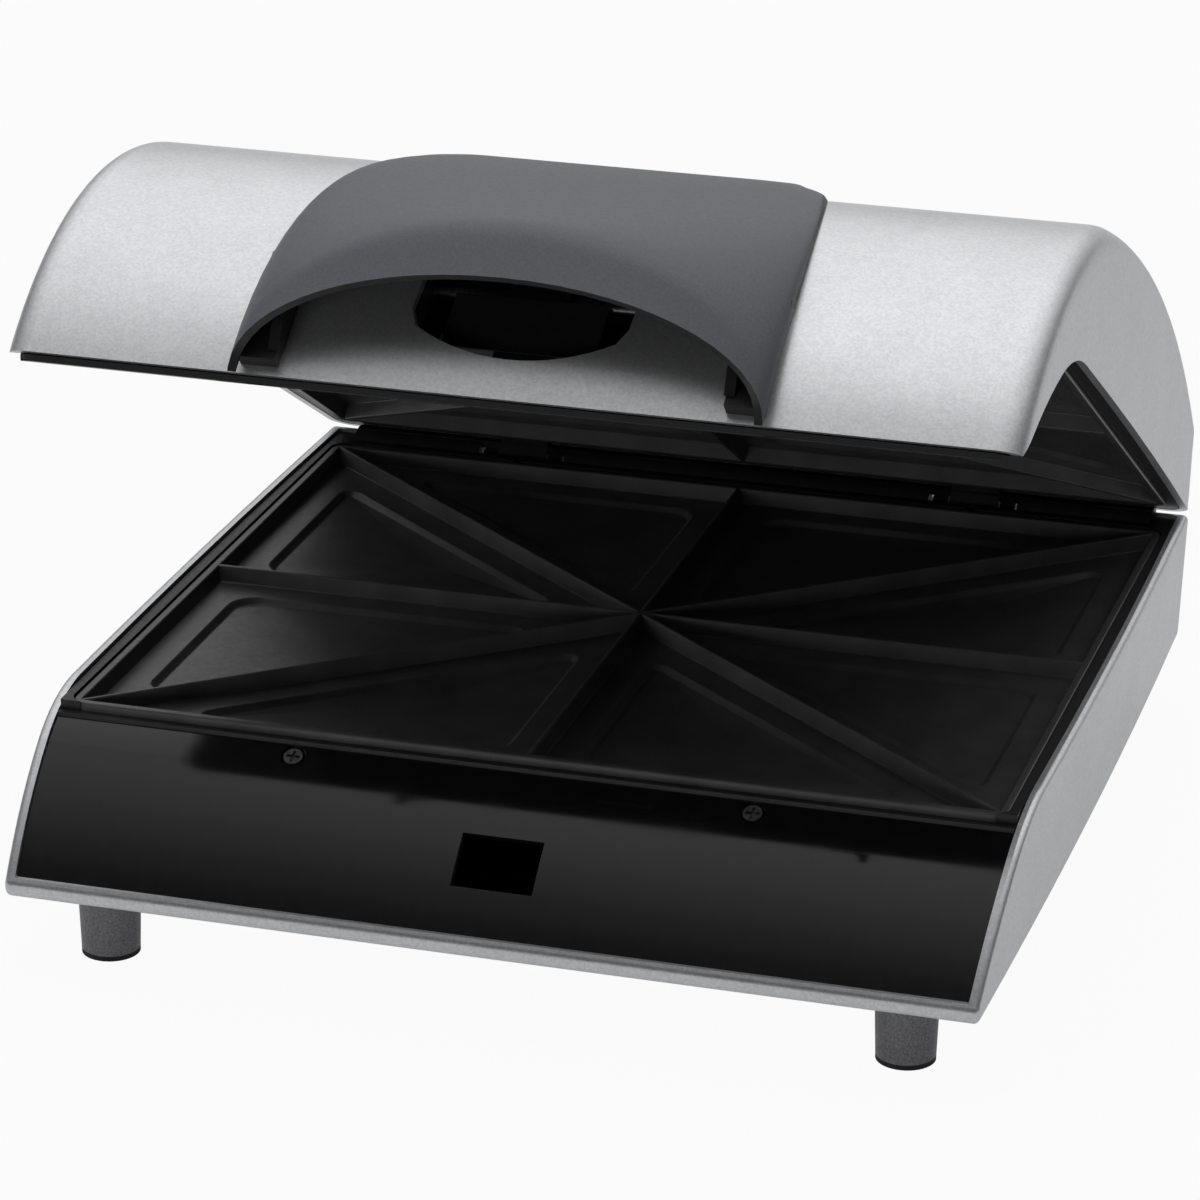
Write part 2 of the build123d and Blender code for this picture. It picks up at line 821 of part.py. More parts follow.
with BuildPart() as upper_element:
    add(mirror(lower_element.part, about=between_plates))

with BuildPart() as upper_element_clamps:
    add(mirror(lower_element_clamps.part, about=between_plates))

with BuildPart() as upper_tray:
    add(mirror(lower_tray.part, about=between_plates))

with BuildPart() as upper_tray_screws:
    add(mirror(lower_tray_screws.part, about=between_plates))

with BuildPart() as upper_plate_screws:
    add(mirror(lower_plate_screws.part, about=between_plates))

with BuildPart() as upper_thermal_fuse:
    add(mirror(lower_thermal_fuse.part, about=between_plates))

# Base: cover, feet and their screws

cover_block = housing_block(
    region(-front_reach + wall + joint_gap, rear_inside(cover_low) - joint_gap, cover_low, cover_top),
    wall + joint_gap,
)

with BuildPart() as base_cover:
    add(cover_block)
    with BuildSketch(Plane.XY.offset(cover_top)):
        with Locations(*foot_spots.values()):
            Circle(post_radius)
    extrude(amount=foot_boss)
    with BuildSketch(Plane.XY.offset(cover_low)):
        with Locations(*foot_spots.values()):
            Circle(screw_shank / 2)
        with Locations(*post_spots):
            Circle(screw_shank / 2)
    extrude(amount=cover_thick + foot_boss, mode=Mode.SUBTRACT)

with BuildPart() as cover_screws:
    with Locations(*[facing((x, y, cover_low), (0, 0, -1)) for x, y in post_spots]):
        add(screw(cover_thick + cover_screw_long, rise=cover_recess))

feet = {}
for place, (x, y) in foot_spots.items():
    with BuildPart() as foot:
        with Locations((x, y, cover_low - foot_height)):
            Cone(
                foot_tip_radius,
                foot_radius,
                foot_height,
                align=(Align.CENTER, Align.CENTER, Align.MIN),
            )
        with BuildSketch(Plane.XY.offset(cover_low - foot_height)):
            with Locations((x, y)):
                Circle(foot_bore)
        extrude(amount=foot_bore_deep, mode=Mode.SUBTRACT)
        with BuildSketch(Plane.XY.offset(cover_low)):
            with Locations((x, y)):
                Circle(screw_shank / 2)
        extrude(amount=-foot_height, mode=Mode.SUBTRACT)
    feet[place] = foot

with BuildPart() as foot_pads:
    with BuildSketch(Plane.XY.offset(cover_low - foot_height)):
        with Locations(*foot_spots.values()):
            Circle(foot_tip_radius)
            Circle(foot_bore, mode=Mode.SUBTRACT)
    extrude(amount=-pad_thick)

with BuildPart() as foot_screws:
    with Locations(
        *[
            facing((x, y, cover_low - foot_height + foot_bore_deep), (0, 0, -1))
            for x, y in foot_spots.values()
        ]
    ):
        add(screw(foot_height - foot_bore_deep + cover_thick + foot_boss))

# Base: hinge brackets, their screws and the hinge pins

bracket_back_y = rear_inside(rim_rise) - frame_gap
brackets = {}
pins = {}
for place, side in (("left", -1), ("right", 1)):
    middle = side * hinge_x
    with BuildPart() as bracket:
        for edge in (-1, 1):
            ear = middle + edge * (arm_wide / 2 + ear_gap + ear_wide / 2)
            with BuildSketch(Plane.YZ.offset(ear)):
                with Locations((hinge_y, hinge_z)):
                    Circle(knuckle_radius)
                with BuildLine():
                    Polyline(
                        (hinge_y - knuckle_radius, hinge_z),
                        (hinge_y - knuckle_radius, -bracket_low),
                        (bracket_back_y, -bracket_low),
                        (bracket_back_y, hinge_z),
                        close=True,
                    )
                make_face()
            extrude(amount=ear_wide / 2, both=True)
        with BuildSketch(Plane.XY.offset(-bracket_low)):
            with Locations((middle, (bracket_front_y + bracket_back_y) / 2)):
                Rectangle(arm_wide + 2 * ear_gap + 2 * ear_wide, bracket_back_y - bracket_front_y)
        extrude(amount=bracket_thick)
        with BuildSketch(Plane.YZ.offset(middle)):
            with Locations((hinge_y, hinge_z)):
                Circle(pin_radius + pin_seat)
        extrude(amount=2 * arm_wide, both=True, mode=Mode.SUBTRACT)
        with BuildSketch(Plane.XY.offset(-bracket_low)):
            with Locations(*bracket_screw_spots):
                Circle(screw_shank / 2)
        extrude(amount=bracket_thick, mode=Mode.SUBTRACT)
    brackets[place] = bracket
    with BuildPart() as pin:
        with BuildSketch(Plane.YZ.offset(middle)):
            with Locations((hinge_y, hinge_z)):
                Circle(pin_radius)
        extrude(amount=arm_wide / 2 + ear_gap + ear_wide, both=True)
    pins[place] = pin

with BuildPart() as bracket_screws:
    with Locations(*[facing((x, y, -bracket_low), (0, 0, -1)) for x, y in bracket_screw_spots]):
        add(screw(bracket_thick + bracket_seat + shelf_thick - sheet))

# Base: power inlet and wires

with BuildPart() as cord_bush:
    with BuildSketch(bush_plane):
        Circle(bush_flange)
    extrude(amount=bush_flange_thick)
    with BuildSketch(bush_plane):
        Circle(bush_neck)
    extrude(amount=-rear_wall_through)
    with BuildSketch(bush_plane.offset(-rear_wall_through)):
        Circle((bush_neck + bush_flange) / 2)
    extrude(amount=-bush_flange_thick)
    with BuildSketch(bush_plane.offset(bush_flange_thick)):
        Circle(bush_bore)
    extrude(amount=-far / 10, mode=Mode.SUBTRACT)

with BuildPart() as terminal_block:
    with BuildSketch(Plane.XY.offset(cover_top)):
        with Locations((block_x, block_y)):
            Rectangle(block_long, block_wide)
    extrude(amount=block_high)
    with BuildSketch(Plane.XY.offset(cover_top + block_high)):
        with Locations((block_x, block_y)):
            with GridLocations(block_long / 3, 1, 3, 1):
                Circle(screw_shank / 2)
    extrude(amount=-block_high / 2, mode=Mode.SUBTRACT)

wire_start = tube_level - lead_radius - wire_radius

with BuildPart() as base_wires:
    for points in (
        [
            (tube_end_x, tube_end_y + lead_long / 2, wire_start),
            (tube_end_x, tube_end_y + lead_long / 2, wire_level),
            (block_x - block_long / 2, tube_end_y + lead_long / 2, wire_level),
        ],
        [
            (-tube_end_x, tube_end_y + lead_long / 2, wire_start),
            (-tube_end_x, tube_end_y + lead_long / 2, wire_level),
            (-tube_end_x, block_y - block_wide / 4, wire_level),
            (block_x - block_long / 2, block_y - block_wide / 4, wire_level),
        ],
        [
            (block_x + block_long / 2, block_y, wire_level),
            (bush_x, block_y, wire_level),
            (bush_x, bush_y - wall, -bush_drop),
        ],
    ):
        with BuildLine() as wire_line:
            FilletPolyline(*points, radius=2 * wire_radius)
        with BuildSketch(Plane(origin=wire_line.wires()[0] @ 0, z_dir=wire_line.wires()[0] % 0)):
            Circle(wire_radius)
        sweep(path=wire_line.wires()[0])

# Lid: painted shell with the finger hole

lid_outside = lid_block(lid_side.sketch, 0, lid_round)
lid_inside = lid_block(grown(lid_side.sketch, -lid_wall), lid_wall, lid_round - lid_wall)
lid_room = lid_block(
    grown(lid_side.sketch, -lid_wall - frame_gap), lid_wall + frame_gap, lid_round - lid_wall
)
lid_shelf_top = upper_back + shelf_thick

with BuildPart() as lid_posts:
    with BuildSketch(Plane.XY.offset(lid_shelf_top)):
        with GridLocations(2 * lid_post_x, 2 * lid_post_y, 2, 2):
            Circle(lid_post_radius)
    extrude(amount=far)
    add(lid_outside, mode=Mode.INTERSECT)

with BuildSketch() as finger_hole:
    with BuildLine():
        ThreePointArc(
            (-well_corner_half, well_corner_z), (0, well_floor), (well_corner_half, well_corner_z)
        )
        Polyline(
            (well_corner_half, well_corner_z),
            (well_half, well_side_z),
            (well_half, well_top),
            (-well_half, well_top),
            (-well_half, well_side_z),
            (-well_corner_half, well_corner_z),
        )
    make_face()

with BuildPart() as lid_shell:
    add(lid_outside)
    add(lid_inside, mode=Mode.SUBTRACT)
    with BuildSketch(Plane.YZ):
        add(notch_side.sketch)
    extrude(amount=far, both=True, mode=Mode.SUBTRACT)
    add(lid_posts.part)
    with BuildSketch(Plane.XZ.offset(-well_back_y)):
        add(finger_hole.sketch)
    extrude(amount=far, mode=Mode.SUBTRACT)
    with BuildSketch(Plane.XY.offset(lid_shelf_top)):
        with GridLocations(2 * lid_post_x, 2 * lid_post_y, 2, 2):
            Circle(screw_shank / 2)
    extrude(amount=lid_screw_bite, mode=Mode.SUBTRACT)
    with BuildSketch(Plane.XY.offset(lid_shelf_top)):
        with Locations((cowl_pillar_x, cowl_pillar_y), (-cowl_pillar_x, cowl_pillar_y)):
            Circle(screw_shank / 2)
    extrude(amount=far, mode=Mode.SUBTRACT)

# Lid: black frame that holds the upper plate, with the knuckles of the hinge

lid_frame_bottom = plate_apart + lid_frame_low

with BuildSketch() as lid_frame_side:
    add(region(frame_front_y, far, lid_frame_bottom, lid_shelf_top))
    with Locations((hinge_y, hinge_z)):
        Circle(knuckle_clear, mode=Mode.SUBTRACT)

with BuildSketch() as front_web_side:
    add(region(frame_front_y, -opening_y, -front_lip_drop, lid_frame_bottom))
    add(grown(housing_side.sketch, liner_gap + liner_thick), mode=Mode.SUBTRACT)

with BuildPart() as lid_frame:
    with BuildSketch(Plane.YZ):
        add(lid_frame_side.sketch)
        add(front_web_side.sketch)
    extrude(amount=far, both=True)
    add(lid_room, mode=Mode.INTERSECT)
    with BuildSketch(Plane.XY.offset(upper_back)):
        RectangleRounded(2 * opening_x, 2 * opening_y, plate_corner + frame_gap)
    extrude(amount=-far, mode=Mode.SUBTRACT)
    with BuildSketch(Plane.XY.offset(upper_back)):
        RectangleRounded(2 * (opening_x - shelf_wide), 2 * (opening_y - shelf_wide), plate_corner)
    extrude(amount=far, mode=Mode.SUBTRACT)
    for middle in (-hinge_x, hinge_x):
        with BuildSketch(Plane.YZ.offset(middle)):
            with Locations((hinge_y, hinge_z)):
                Circle(knuckle_radius)
            with BuildLine():
                Polyline(
                    (hinge_y - knuckle_radius, hinge_z),
                    (hinge_y - knuckle_radius, arm_top),
                    (arm_back_y, arm_top),
                    (bracket_back_y, lid_frame_bottom),
                    (hinge_y + knuckle_radius, hinge_z),
                    close=True,
                )
            make_face()
        extrude(amount=arm_wide / 2, both=True)
    with BuildSketch(Plane.YZ):
        with Locations((hinge_y, hinge_z)):
            Circle(pin_radius + pin_play)
    extrude(amount=far, both=True, mode=Mode.SUBTRACT)
    with BuildSketch(Plane.XY.offset(upper_back)):
        with GridLocations(2 * lid_post_x, 2 * lid_post_y, 2, 2):
            Circle(screw_shank / 2)
        with GridLocations(2 * plate_screw_x, 2 * plate_screw_y, 2, 2):
            Circle(screw_shank / 2)
    extrude(amount=shelf_thick, mode=Mode.SUBTRACT)
    with BuildSketch(Plane.XY.offset(upper_back)):
        with GridLocations(2 * lid_post_x, 2 * lid_post_y, 2, 2):
            Circle(screw_head / 2)
    extrude(amount=head_rise, mode=Mode.SUBTRACT)

with BuildPart() as lid_screws:
    with Locations(
        *[
            facing((side * lid_post_x, back * lid_post_y, upper_back + head_rise), (0, 0, -1))
            for side in (1, -1)
            for back in (1, -1)
        ]
    ):
        add(screw(shelf_thick - head_rise + lid_screw_bite))

# Lid: gloss liner over the panel, slotted for the latch

with BuildSketch() as liner_side:
    add(grown(housing_side.sketch, liner_gap + liner_thick))
    add(grown(housing_side.sketch, liner_gap), mode=Mode.SUBTRACT)
    add(region(-far, -opening_y, lid_tip_z - liner_show, far), mode=Mode.INTERSECT)

with BuildPart() as lid_liner:
    with BuildSketch(Plane.YZ):
        add(liner_side.sketch)
    extrude(amount=far, both=True)
    add(lid_room, mode=Mode.INTERSECT)
    with BuildSketch(Plane.XY):
        with Locations((0, (liner_slot_front + liner_slot_back) / 2)):
            Rectangle(2 * liner_slot_half, liner_slot_back - liner_slot_front)
    extrude(amount=far, both=True, mode=Mode.SUBTRACT)

# Lid: finger well, latch and its pin

with BuildSketch() as well_side:
    add(grown(lid_side.sketch, -lid_wall - well_gap))
    add(grown(housing_side.sketch, liner_gap + liner_thick + well_gap), mode=Mode.SUBTRACT)
    add(region(well_front_y, well_back_y, under, far), mode=Mode.INTERSECT)

with BuildPart() as finger_well:
    with BuildSketch(Plane.YZ):
        add(well_side.sketch)
    extrude(amount=well_half + well_gap + well_wall, both=True)
    with BuildSketch(Plane.YZ):
        add(region(-far, well_back_y - well_wall, -far, far))
    extrude(amount=well_half + well_gap, both=True, mode=Mode.SUBTRACT)
    with BuildSketch(Plane.YZ):
        with Locations((latch_y, latch_z)):
            Circle(latch_pin_radius + pin_seat)
    extrude(amount=far, both=True, mode=Mode.SUBTRACT)

with BuildPart() as latch_pin:
    with BuildSketch(Plane.YZ):
        with Locations((latch_y, latch_z)):
            Circle(latch_pin_radius)
    extrude(amount=well_half + well_gap + well_wall, both=True)

latch_shoulder_z = latch_z - 2 * latch_boss
latch_top_z = latch_z - latch_boss / 2

with BuildPart() as latch_lever:
    with BuildSketch(Plane.YZ):
        with Locations((latch_y, latch_z)):
            Circle(latch_boss)
        with BuildLine():
            Polyline(
                (latch_y, latch_z + latch_boss),
                (latch_stem_front, latch_top_z),
                (latch_stem_front, latch_nose_low),
                (latch_nose_back, latch_nose_low),
                (latch_nose_back, latch_nose_top),
                (latch_stem_back, latch_nose_top + latch_boss / 2),
                (latch_stem_back, latch_shoulder_z),
                (latch_y, latch_z - latch_boss),
                close=True,
            )
        make_face()
    extrude(amount=latch_stem_wide / 2, both=True)
    with BuildSketch(Plane.YZ):
        with BuildLine():
            Polyline(
                (latch_stem_back, latch_top_z),
                (latch_stem_front, latch_top_z),
                (latch_pad_y - well_wall, latch_nose_top),
                (latch_pad_y, latch_nose_top),
                close=True,
            )
        make_face()
    extrude(amount=latch_pad_half, both=True)
    with BuildSketch(Plane.YZ):
        with Locations((latch_y, latch_z)):
            Circle(latch_pin_radius + latch_pin_play)
    extrude(amount=far, both=True, mode=Mode.SUBTRACT)

# Lid: handle cowl. Its cross sections stand on the lid's skin. They are flat with rounded sides at
# the rear and half ellipses at the crease in front, where a flared lip goes on from the tallest.

roof_centre = Vector(lid_roof.arc_center.X, lid_roof.arc_center.Y)


def skin_point(turn, out):
    """Point at an angle about the centre of the lid's front arc, a distance outside the skin."""
    ray = Vector(math.cos(turn), math.sin(turn))
    offset_from_roof = lid_centre - roof_centre
    along = offset_from_roof.dot(ray)
    inside = offset_from_roof.dot(offset_from_roof) - lid_roof.radius**2
    on_roof = -along + math.sqrt(along**2 - inside)
    reach = on_roof if turn < math.radians(90 + crown_slope) else lid_radius
    return lid_centre + ray * (reach + out)


def height_over(y, out):
    """Point of the skin nearest above a station, a distance outside the skin."""
    turn = math.acos((y - lid_centre.X) / lid_radius)
    return skin_point(turn, out)


cowl_tip = Vector(lid_tip_y - cowl_tip_out, lid_tip_z - cowl_tip_drop)
cowl_crease = Vector(lid_tip_y - crease_out, lid_tip_z + crease_rise)
cowl_lip = cowl_crease + Vector(-lip_out, -lip_drop)
cowl_lip_tip = cowl_tip + Vector(-lip_tip_drop / 2, -lip_tip_drop)
tip_turn = math.atan2(cowl_tip.Y - lid_centre.Y, cowl_tip.X - lid_centre.X)
tip_out = (cowl_tip - lid_centre).length - lid_radius

with BuildLine() as cowl_middle:
    cowl_bend = height_over(cowl_bend_y, cowl_bend_proud)
    Line(height_over(cowl_rear_y, cowl_rear_proud), cowl_bend)
    slope = math.radians(crease_slope)
    TangentArc(cowl_crease, cowl_bend, tangent=(math.cos(slope), math.sin(slope)))


def cowl_station(share):
    """Middle and edge of the cowl's section, a share of the way from its rear to the crease."""
    middle = cowl_middle.wires()[0] @ share
    middle = Vector(middle.X, middle.Y)
    turn = math.atan2(middle.Y - lid_centre.Y, middle.X - lid_centre.X)
    crease_turn = math.atan2(cowl_crease.Y - lid_centre.Y, cowl_crease.X - lid_centre.X)
    turn += (tip_turn - crease_turn) * share**3
    edge = skin_point(turn, cowl_seat + (tip_out - cowl_seat) * share**3)
    half = cowl_half_front - (cowl_half_front - cowl_half_rear) * (1 - share) ** 2
    side = cowl_round_rear + (half - cowl_flat_front / 2 - cowl_round_rear) * share
    return middle, edge, half, side


def arch(middle, edge, half, side, thick):
    """Arch across the lid, from its edges on the skin up to the middle, less a thickness."""
    rise = middle - edge
    up = rise.normalized()
    foot = edge - up * thick
    plane = Plane(origin=(0, foot.X, foot.Y), x_dir=(1, 0, 0), z_dir=(0, -up.Y, up.X))
    with BuildSketch(plane) as section:
        with BuildLine():
            right = EllipticalCenterArc((half - side, 0), side - thick, rise.length, 0, arc_size=90)
            left = EllipticalCenterArc((side - half, 0), side - thick, rise.length, 90, arc_size=90)
            Line(right @ 1, left @ 0)
            Line(left @ 1, right @ 0)
        make_face()
    return section.sketch


def cowl_solid(thick, first):
    """Solid under the cowl's surface, with its lip, less a thickness all round."""
    shares = [first + (1 - first) * step / cowl_steps for step in range(cowl_steps + 1)]
    hood = loft([arch(*cowl_station(share), thick) for share in shares])
    side = cowl_half_front - cowl_flat_front / 2
    crease = arch(cowl_crease, cowl_tip, cowl_half_front, side, thick)
    over = 0.3 if thick > 0 else 0
    lip = arch(
        cowl_lip + (cowl_lip - cowl_crease) * over,
        cowl_lip_tip + (cowl_lip_tip - cowl_tip) * over,
        cowl_half_front,
        side,
        thick,
    )
    return hood, loft([crease, lip], ruled=True)


hood, flare = cowl_solid(0, 0)
hood_room, flare_room = cowl_solid(cowl_thick, cowl_thick / (cowl_rear_y - lid_tip_y))

with BuildPart() as cowl_pillars:
    with BuildSketch(Plane.XY):
        with Locations((cowl_pillar_x, cowl_pillar_y), (-cowl_pillar_x, cowl_pillar_y)):
            Circle(lid_post_radius)
    extrude(amount=far)
    add(hood, mode=Mode.INTERSECT)

pillar_skin = height_over(cowl_pillar_y, 0).Y

with BuildPart() as handle_cowl:
    add(hood)
    add(flare)
    add(hood_room, mode=Mode.SUBTRACT)
    add(flare_room, mode=Mode.SUBTRACT)
    add(cowl_pillars.part)
    with BuildSketch(Plane.XY):
        with Locations((cowl_pillar_x, cowl_pillar_y), (-cowl_pillar_x, cowl_pillar_y)):
            Circle(screw_shank / 2)
    extrude(amount=pillar_skin + cowl_screw_bite, mode=Mode.SUBTRACT)

with BuildPart() as cowl_screws:
    with Locations(
        facing((cowl_pillar_x, cowl_pillar_y, pillar_skin - lid_wall - cowl_screw_gap), (0, 0, -1)),
        facing((-cowl_pillar_x, cowl_pillar_y, pillar_skin - lid_wall - cowl_screw_gap), (0, 0, -1)),
    ):
        add(screw(lid_wall + cowl_screw_gap + cowl_screw_bite))

# Lid: black ribs between the cowl's front corners and the lid's skin


def under_cowl(share):
    """Point under the cowl's inner face where a rib stands, at a share of its length."""
    middle, edge, half, side = cowl_station(share)
    rise = middle - edge
    height = math.sqrt(1 - ((rib_out - half + side) / (side - cowl_thick)) ** 2)
    return edge + rise.normalized() * (rise.length * height - cowl_thick - cowl_seat)


rib_shares = [rib_first + (rib_last - rib_first) * step / 4 for step in range(5)]

with BuildSketch() as rib_side:
    with BuildLine():
        rib_top_line = Spline(*[under_cowl(share) for share in rib_shares])
        Polyline(
            rib_top_line @ 1,
            cowl_station(rib_last)[1],
            (crown_y, 0),
            cowl_station(rib_first)[1],
            rib_top_line @ 0,
        )
    make_face()
    add(grown(lid_side.sketch, cowl_seat), mode=Mode.SUBTRACT)

ribs = {}
for place, side in (("left", -1), ("right", 1)):
    with BuildPart() as rib:
        with BuildSketch(Plane.YZ.offset(side * (rib_out - rib_thick / 2))):
            add(rib_side.sketch)
        extrude(amount=rib_thick / 2, both=True)
    ribs[place] = rib

finish(base_housing, "base_housing", on_table)
finish(front_panel, "front_panel", on_table)
finish(panel_screws, "panel_screws", on_table)
finish(lower_frame, "lower_frame", on_table)
finish(lower_plate, "lower_plate", on_table)
finish(lower_plate_screws, "lower_plate_screws", on_table)
finish(lower_element, "lower_element", on_table)
finish(lower_element_clamps, "lower_element_clamps", on_table)
finish(lower_tray, "lower_tray", on_table)
finish(lower_tray_screws, "lower_tray_screws", on_table)
finish(lower_thermal_fuse, "lower_thermal_fuse", on_table)
finish(thermostat, "thermostat", on_table)
finish(base_cover, "base_cover", on_table)
finish(cover_screws, "cover_screws", on_table)
finish(foot_pads, "foot_pads", on_table)
finish(foot_screws, "foot_screws", on_table)
finish(bracket_screws, "hinge_bracket_screws", on_table)
finish(cord_bush, "cord_bush", on_table)
finish(terminal_block, "terminal_block", on_table)
for place, foot in feet.items():
    finish(foot, f"foot_{place}", on_table)
for place, bracket in brackets.items():
    finish(bracket, f"hinge_bracket_{place}", on_table)
for place, pin in pins.items():
    finish(pin, f"hinge_pin_{place}", on_table)
finish(base_wires, "base_wires", on_table)
finish(lid_shell, "lid_shell", lid_open)
finish(lid_frame, "lid_frame", lid_open)
finish(lid_screws, "lid_screws", lid_open)
finish(lid_liner, "lid_liner", lid_open)
finish(finger_well, "finger_well", lid_open)
finish(latch_pin, "latch_pin", lid_open)
finish(latch_lever, "latch_lever", lid_open)
finish(upper_plate, "upper_plate", lid_open)
finish(upper_plate_screws, "upper_plate_screws", lid_open)
finish(upper_element, "upper_element", lid_open)
finish(upper_element_clamps, "upper_element_clamps", lid_open)
finish(upper_tray, "upper_tray", lid_open)
finish(upper_tray_screws, "upper_tray_screws", lid_open)
finish(upper_thermal_fuse, "upper_thermal_fuse", lid_open)
finish(handle_cowl, "handle_cowl", lid_open)
finish(cowl_screws, "cowl_screws", lid_open)
for place, rib in ribs.items():
    finish(rib, f"cowl_rib_{place}", lid_open)
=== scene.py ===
import math

import bmesh
import bpy
from mathutils import Matrix, Vector


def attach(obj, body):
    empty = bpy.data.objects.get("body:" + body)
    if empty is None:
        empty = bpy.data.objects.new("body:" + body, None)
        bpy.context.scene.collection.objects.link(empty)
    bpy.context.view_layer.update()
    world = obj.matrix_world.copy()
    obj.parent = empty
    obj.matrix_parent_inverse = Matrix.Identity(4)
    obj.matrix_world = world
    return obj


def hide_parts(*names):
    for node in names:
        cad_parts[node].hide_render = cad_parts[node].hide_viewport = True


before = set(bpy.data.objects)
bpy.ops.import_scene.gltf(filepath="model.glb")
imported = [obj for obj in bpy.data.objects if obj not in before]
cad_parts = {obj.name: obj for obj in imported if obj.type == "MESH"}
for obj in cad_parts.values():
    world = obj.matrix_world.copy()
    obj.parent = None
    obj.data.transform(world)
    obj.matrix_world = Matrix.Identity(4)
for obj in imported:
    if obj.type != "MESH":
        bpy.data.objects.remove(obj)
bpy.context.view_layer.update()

# Moulded housing: a low box of plastic with leaning sides, sprayed silver. The paint carries fine
# aluminium flakes under a thin satin lacquer, so it sparkles in small grains and clouds a little.

SILVER = (0.74, 0.75, 0.77)


def surface(name, colour, roughness, metallic=0.0):
    """A new material with its shader, and the place on the object that its patterns read."""
    material = bpy.data.materials.new(name)
    material.use_nodes = True
    tree = material.node_tree
    shader = tree.nodes["Principled BSDF"]
    shader.inputs["Base Color"].default_value = (*colour, 1.0)
    shader.inputs["Roughness"].default_value = roughness
    shader.inputs["Metallic"].default_value = metallic
    place = tree.nodes.new("ShaderNodeTexCoord").outputs["Object"]
    return material, tree, shader, place


def grains(tree, place, size, detail=2.0):
    """A noise whose blots have a size in metres."""
    noise = tree.nodes.new("ShaderNodeTexNoise")
    noise.inputs["Scale"].default_value = 1.0 / size
    noise.inputs["Detail"].default_value = detail
    tree.links.new(place, noise.inputs["Vector"])
    return noise.outputs["Fac"]


def spread(tree, pattern, low, high, start=0.3, end=0.7):
    """A pattern stretched so that it runs from low to high."""
    ramp = tree.nodes.new("ShaderNodeMapRange")
    ramp.inputs["From Min"].default_value = start
    ramp.inputs["From Max"].default_value = end
    ramp.inputs["To Min"].default_value = low
    ramp.inputs["To Max"].default_value = high
    tree.links.new(pattern, ramp.inputs["Value"])
    return ramp.outputs["Result"]


def tint(tree, shader, colour, shades):
    """The shader's colour, made lighter and darker by each of the shades in turn."""
    current = None
    for shade in shades:
        mix = tree.nodes.new("ShaderNodeMix")
        mix.data_type = "RGBA"
        mix.blend_type = "MULTIPLY"
        mix.inputs["Factor"].default_value = 1.0
        if current is None:
            mix.inputs["A"].default_value = (*colour, 1.0)
        else:
            tree.links.new(current, mix.inputs["A"])
        tree.links.new(shade, mix.inputs["B"])
        current = mix.outputs["Result"]
    tree.links.new(current, shader.inputs["Base Color"])


def relief(tree, shader, pattern, height, strength=1.0):
    """Fine relief of a height in metres from a pattern."""
    bump = tree.nodes.new("ShaderNodeBump")
    bump.inputs["Strength"].default_value = strength
    bump.inputs["Distance"].default_value = height
    tree.links.new(pattern, bump.inputs["Height"])
    tree.links.new(bump.outputs["Normal"], shader.inputs["Normal"])


def silver_paint():
    material, tree, shader, place = surface("silver_paint", SILVER, 0.4, 0.8)
    flakes = tree.nodes.new("ShaderNodeTexVoronoi")
    flakes.inputs["Scale"].default_value = 1500.0
    tree.links.new(place, flakes.inputs["Vector"])
    glint = tree.nodes.new("ShaderNodeSeparateColor")
    tree.links.new(flakes.outputs["Color"], glint.inputs["Color"])
    sparkle = spread(tree, glint.outputs["Red"], 0.92, 1.08, 0.0, 1.0)
    cloud = spread(tree, grains(tree, place, 0.02, 3.0), 0.975, 1.025)
    tint(tree, shader, SILVER, [sparkle, cloud])
    tree.links.new(
        spread(tree, grains(tree, place, 0.0012), 0.32, 0.42), shader.inputs["Roughness"]
    )
    shader.inputs["Specular IOR Level"].default_value = 0.35
    shader.inputs["Coat Weight"].default_value = 0.06
    shader.inputs["Coat Roughness"].default_value = 0.12
    relief(tree, shader, grains(tree, place, 0.0006), 0.00002, 0.15)
    return material


def dress(material, *names):
    """Give CAD nodes their finish."""
    for name in names:
        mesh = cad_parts[name].data
        mesh.materials.clear()
        mesh.materials.append(material)


paint = silver_paint()
dress(paint, "base_housing")

# Front panel: a curved plate of black high-gloss plastic, let into the housing's nose, with a
# window for the latch hook and two screws in round recesses.

GLOSS_BLACK = (0.006, 0.006, 0.007)


def gloss_black():
    material, tree, shader, place = surface("gloss_black", GLOSS_BLACK, 0.06)
    tree.links.new(
        spread(tree, grains(tree, place, 0.03, 4.0), 0.045, 0.10), shader.inputs["Roughness"]
    )
    tint(tree, shader, GLOSS_BLACK, [spread(tree, grains(tree, place, 0.004, 3.0), 0.8, 1.25)])
    relief(tree, shader, grains(tree, place, 0.035, 1.0), 0.00006, 0.25)
    shader.inputs["IOR"].default_value = 1.5
    shader.inputs["Sheen Weight"].default_value = 0.6
    shader.inputs["Sheen Roughness"].default_value = 0.2
    return material


gloss = gloss_black()
dress(gloss, "front_panel")

# Black frame round the lower plate, moulded in satin plastic. Its mould was spark eroded, which
# leaves a fine grain, and it drops into the housing from above.

SATIN_BLACK = (0.016, 0.016, 0.017)


def satin_black():
    material, tree, shader, place = surface("satin_black", SATIN_BLACK, 0.4)
    tint(tree, shader, SATIN_BLACK, [spread(tree, grains(tree, place, 0.006, 4.0), 0.8, 1.2)])
    tree.links.new(
        spread(tree, grains(tree, place, 0.0009), 0.34, 0.5), shader.inputs["Roughness"]
    )
    relief(tree, shader, grains(tree, place, 0.0005), 0.00004, 0.4)
    return material


moulded = satin_black()
dress(moulded, "lower_frame")

# Screws and pins: steel with a dark zinc plating that has gone a little cloudy. The screws hold
# the plates, trays, cover and lid from inside, and only the two in the panel show.

ZINC = (0.22, 0.22, 0.23)


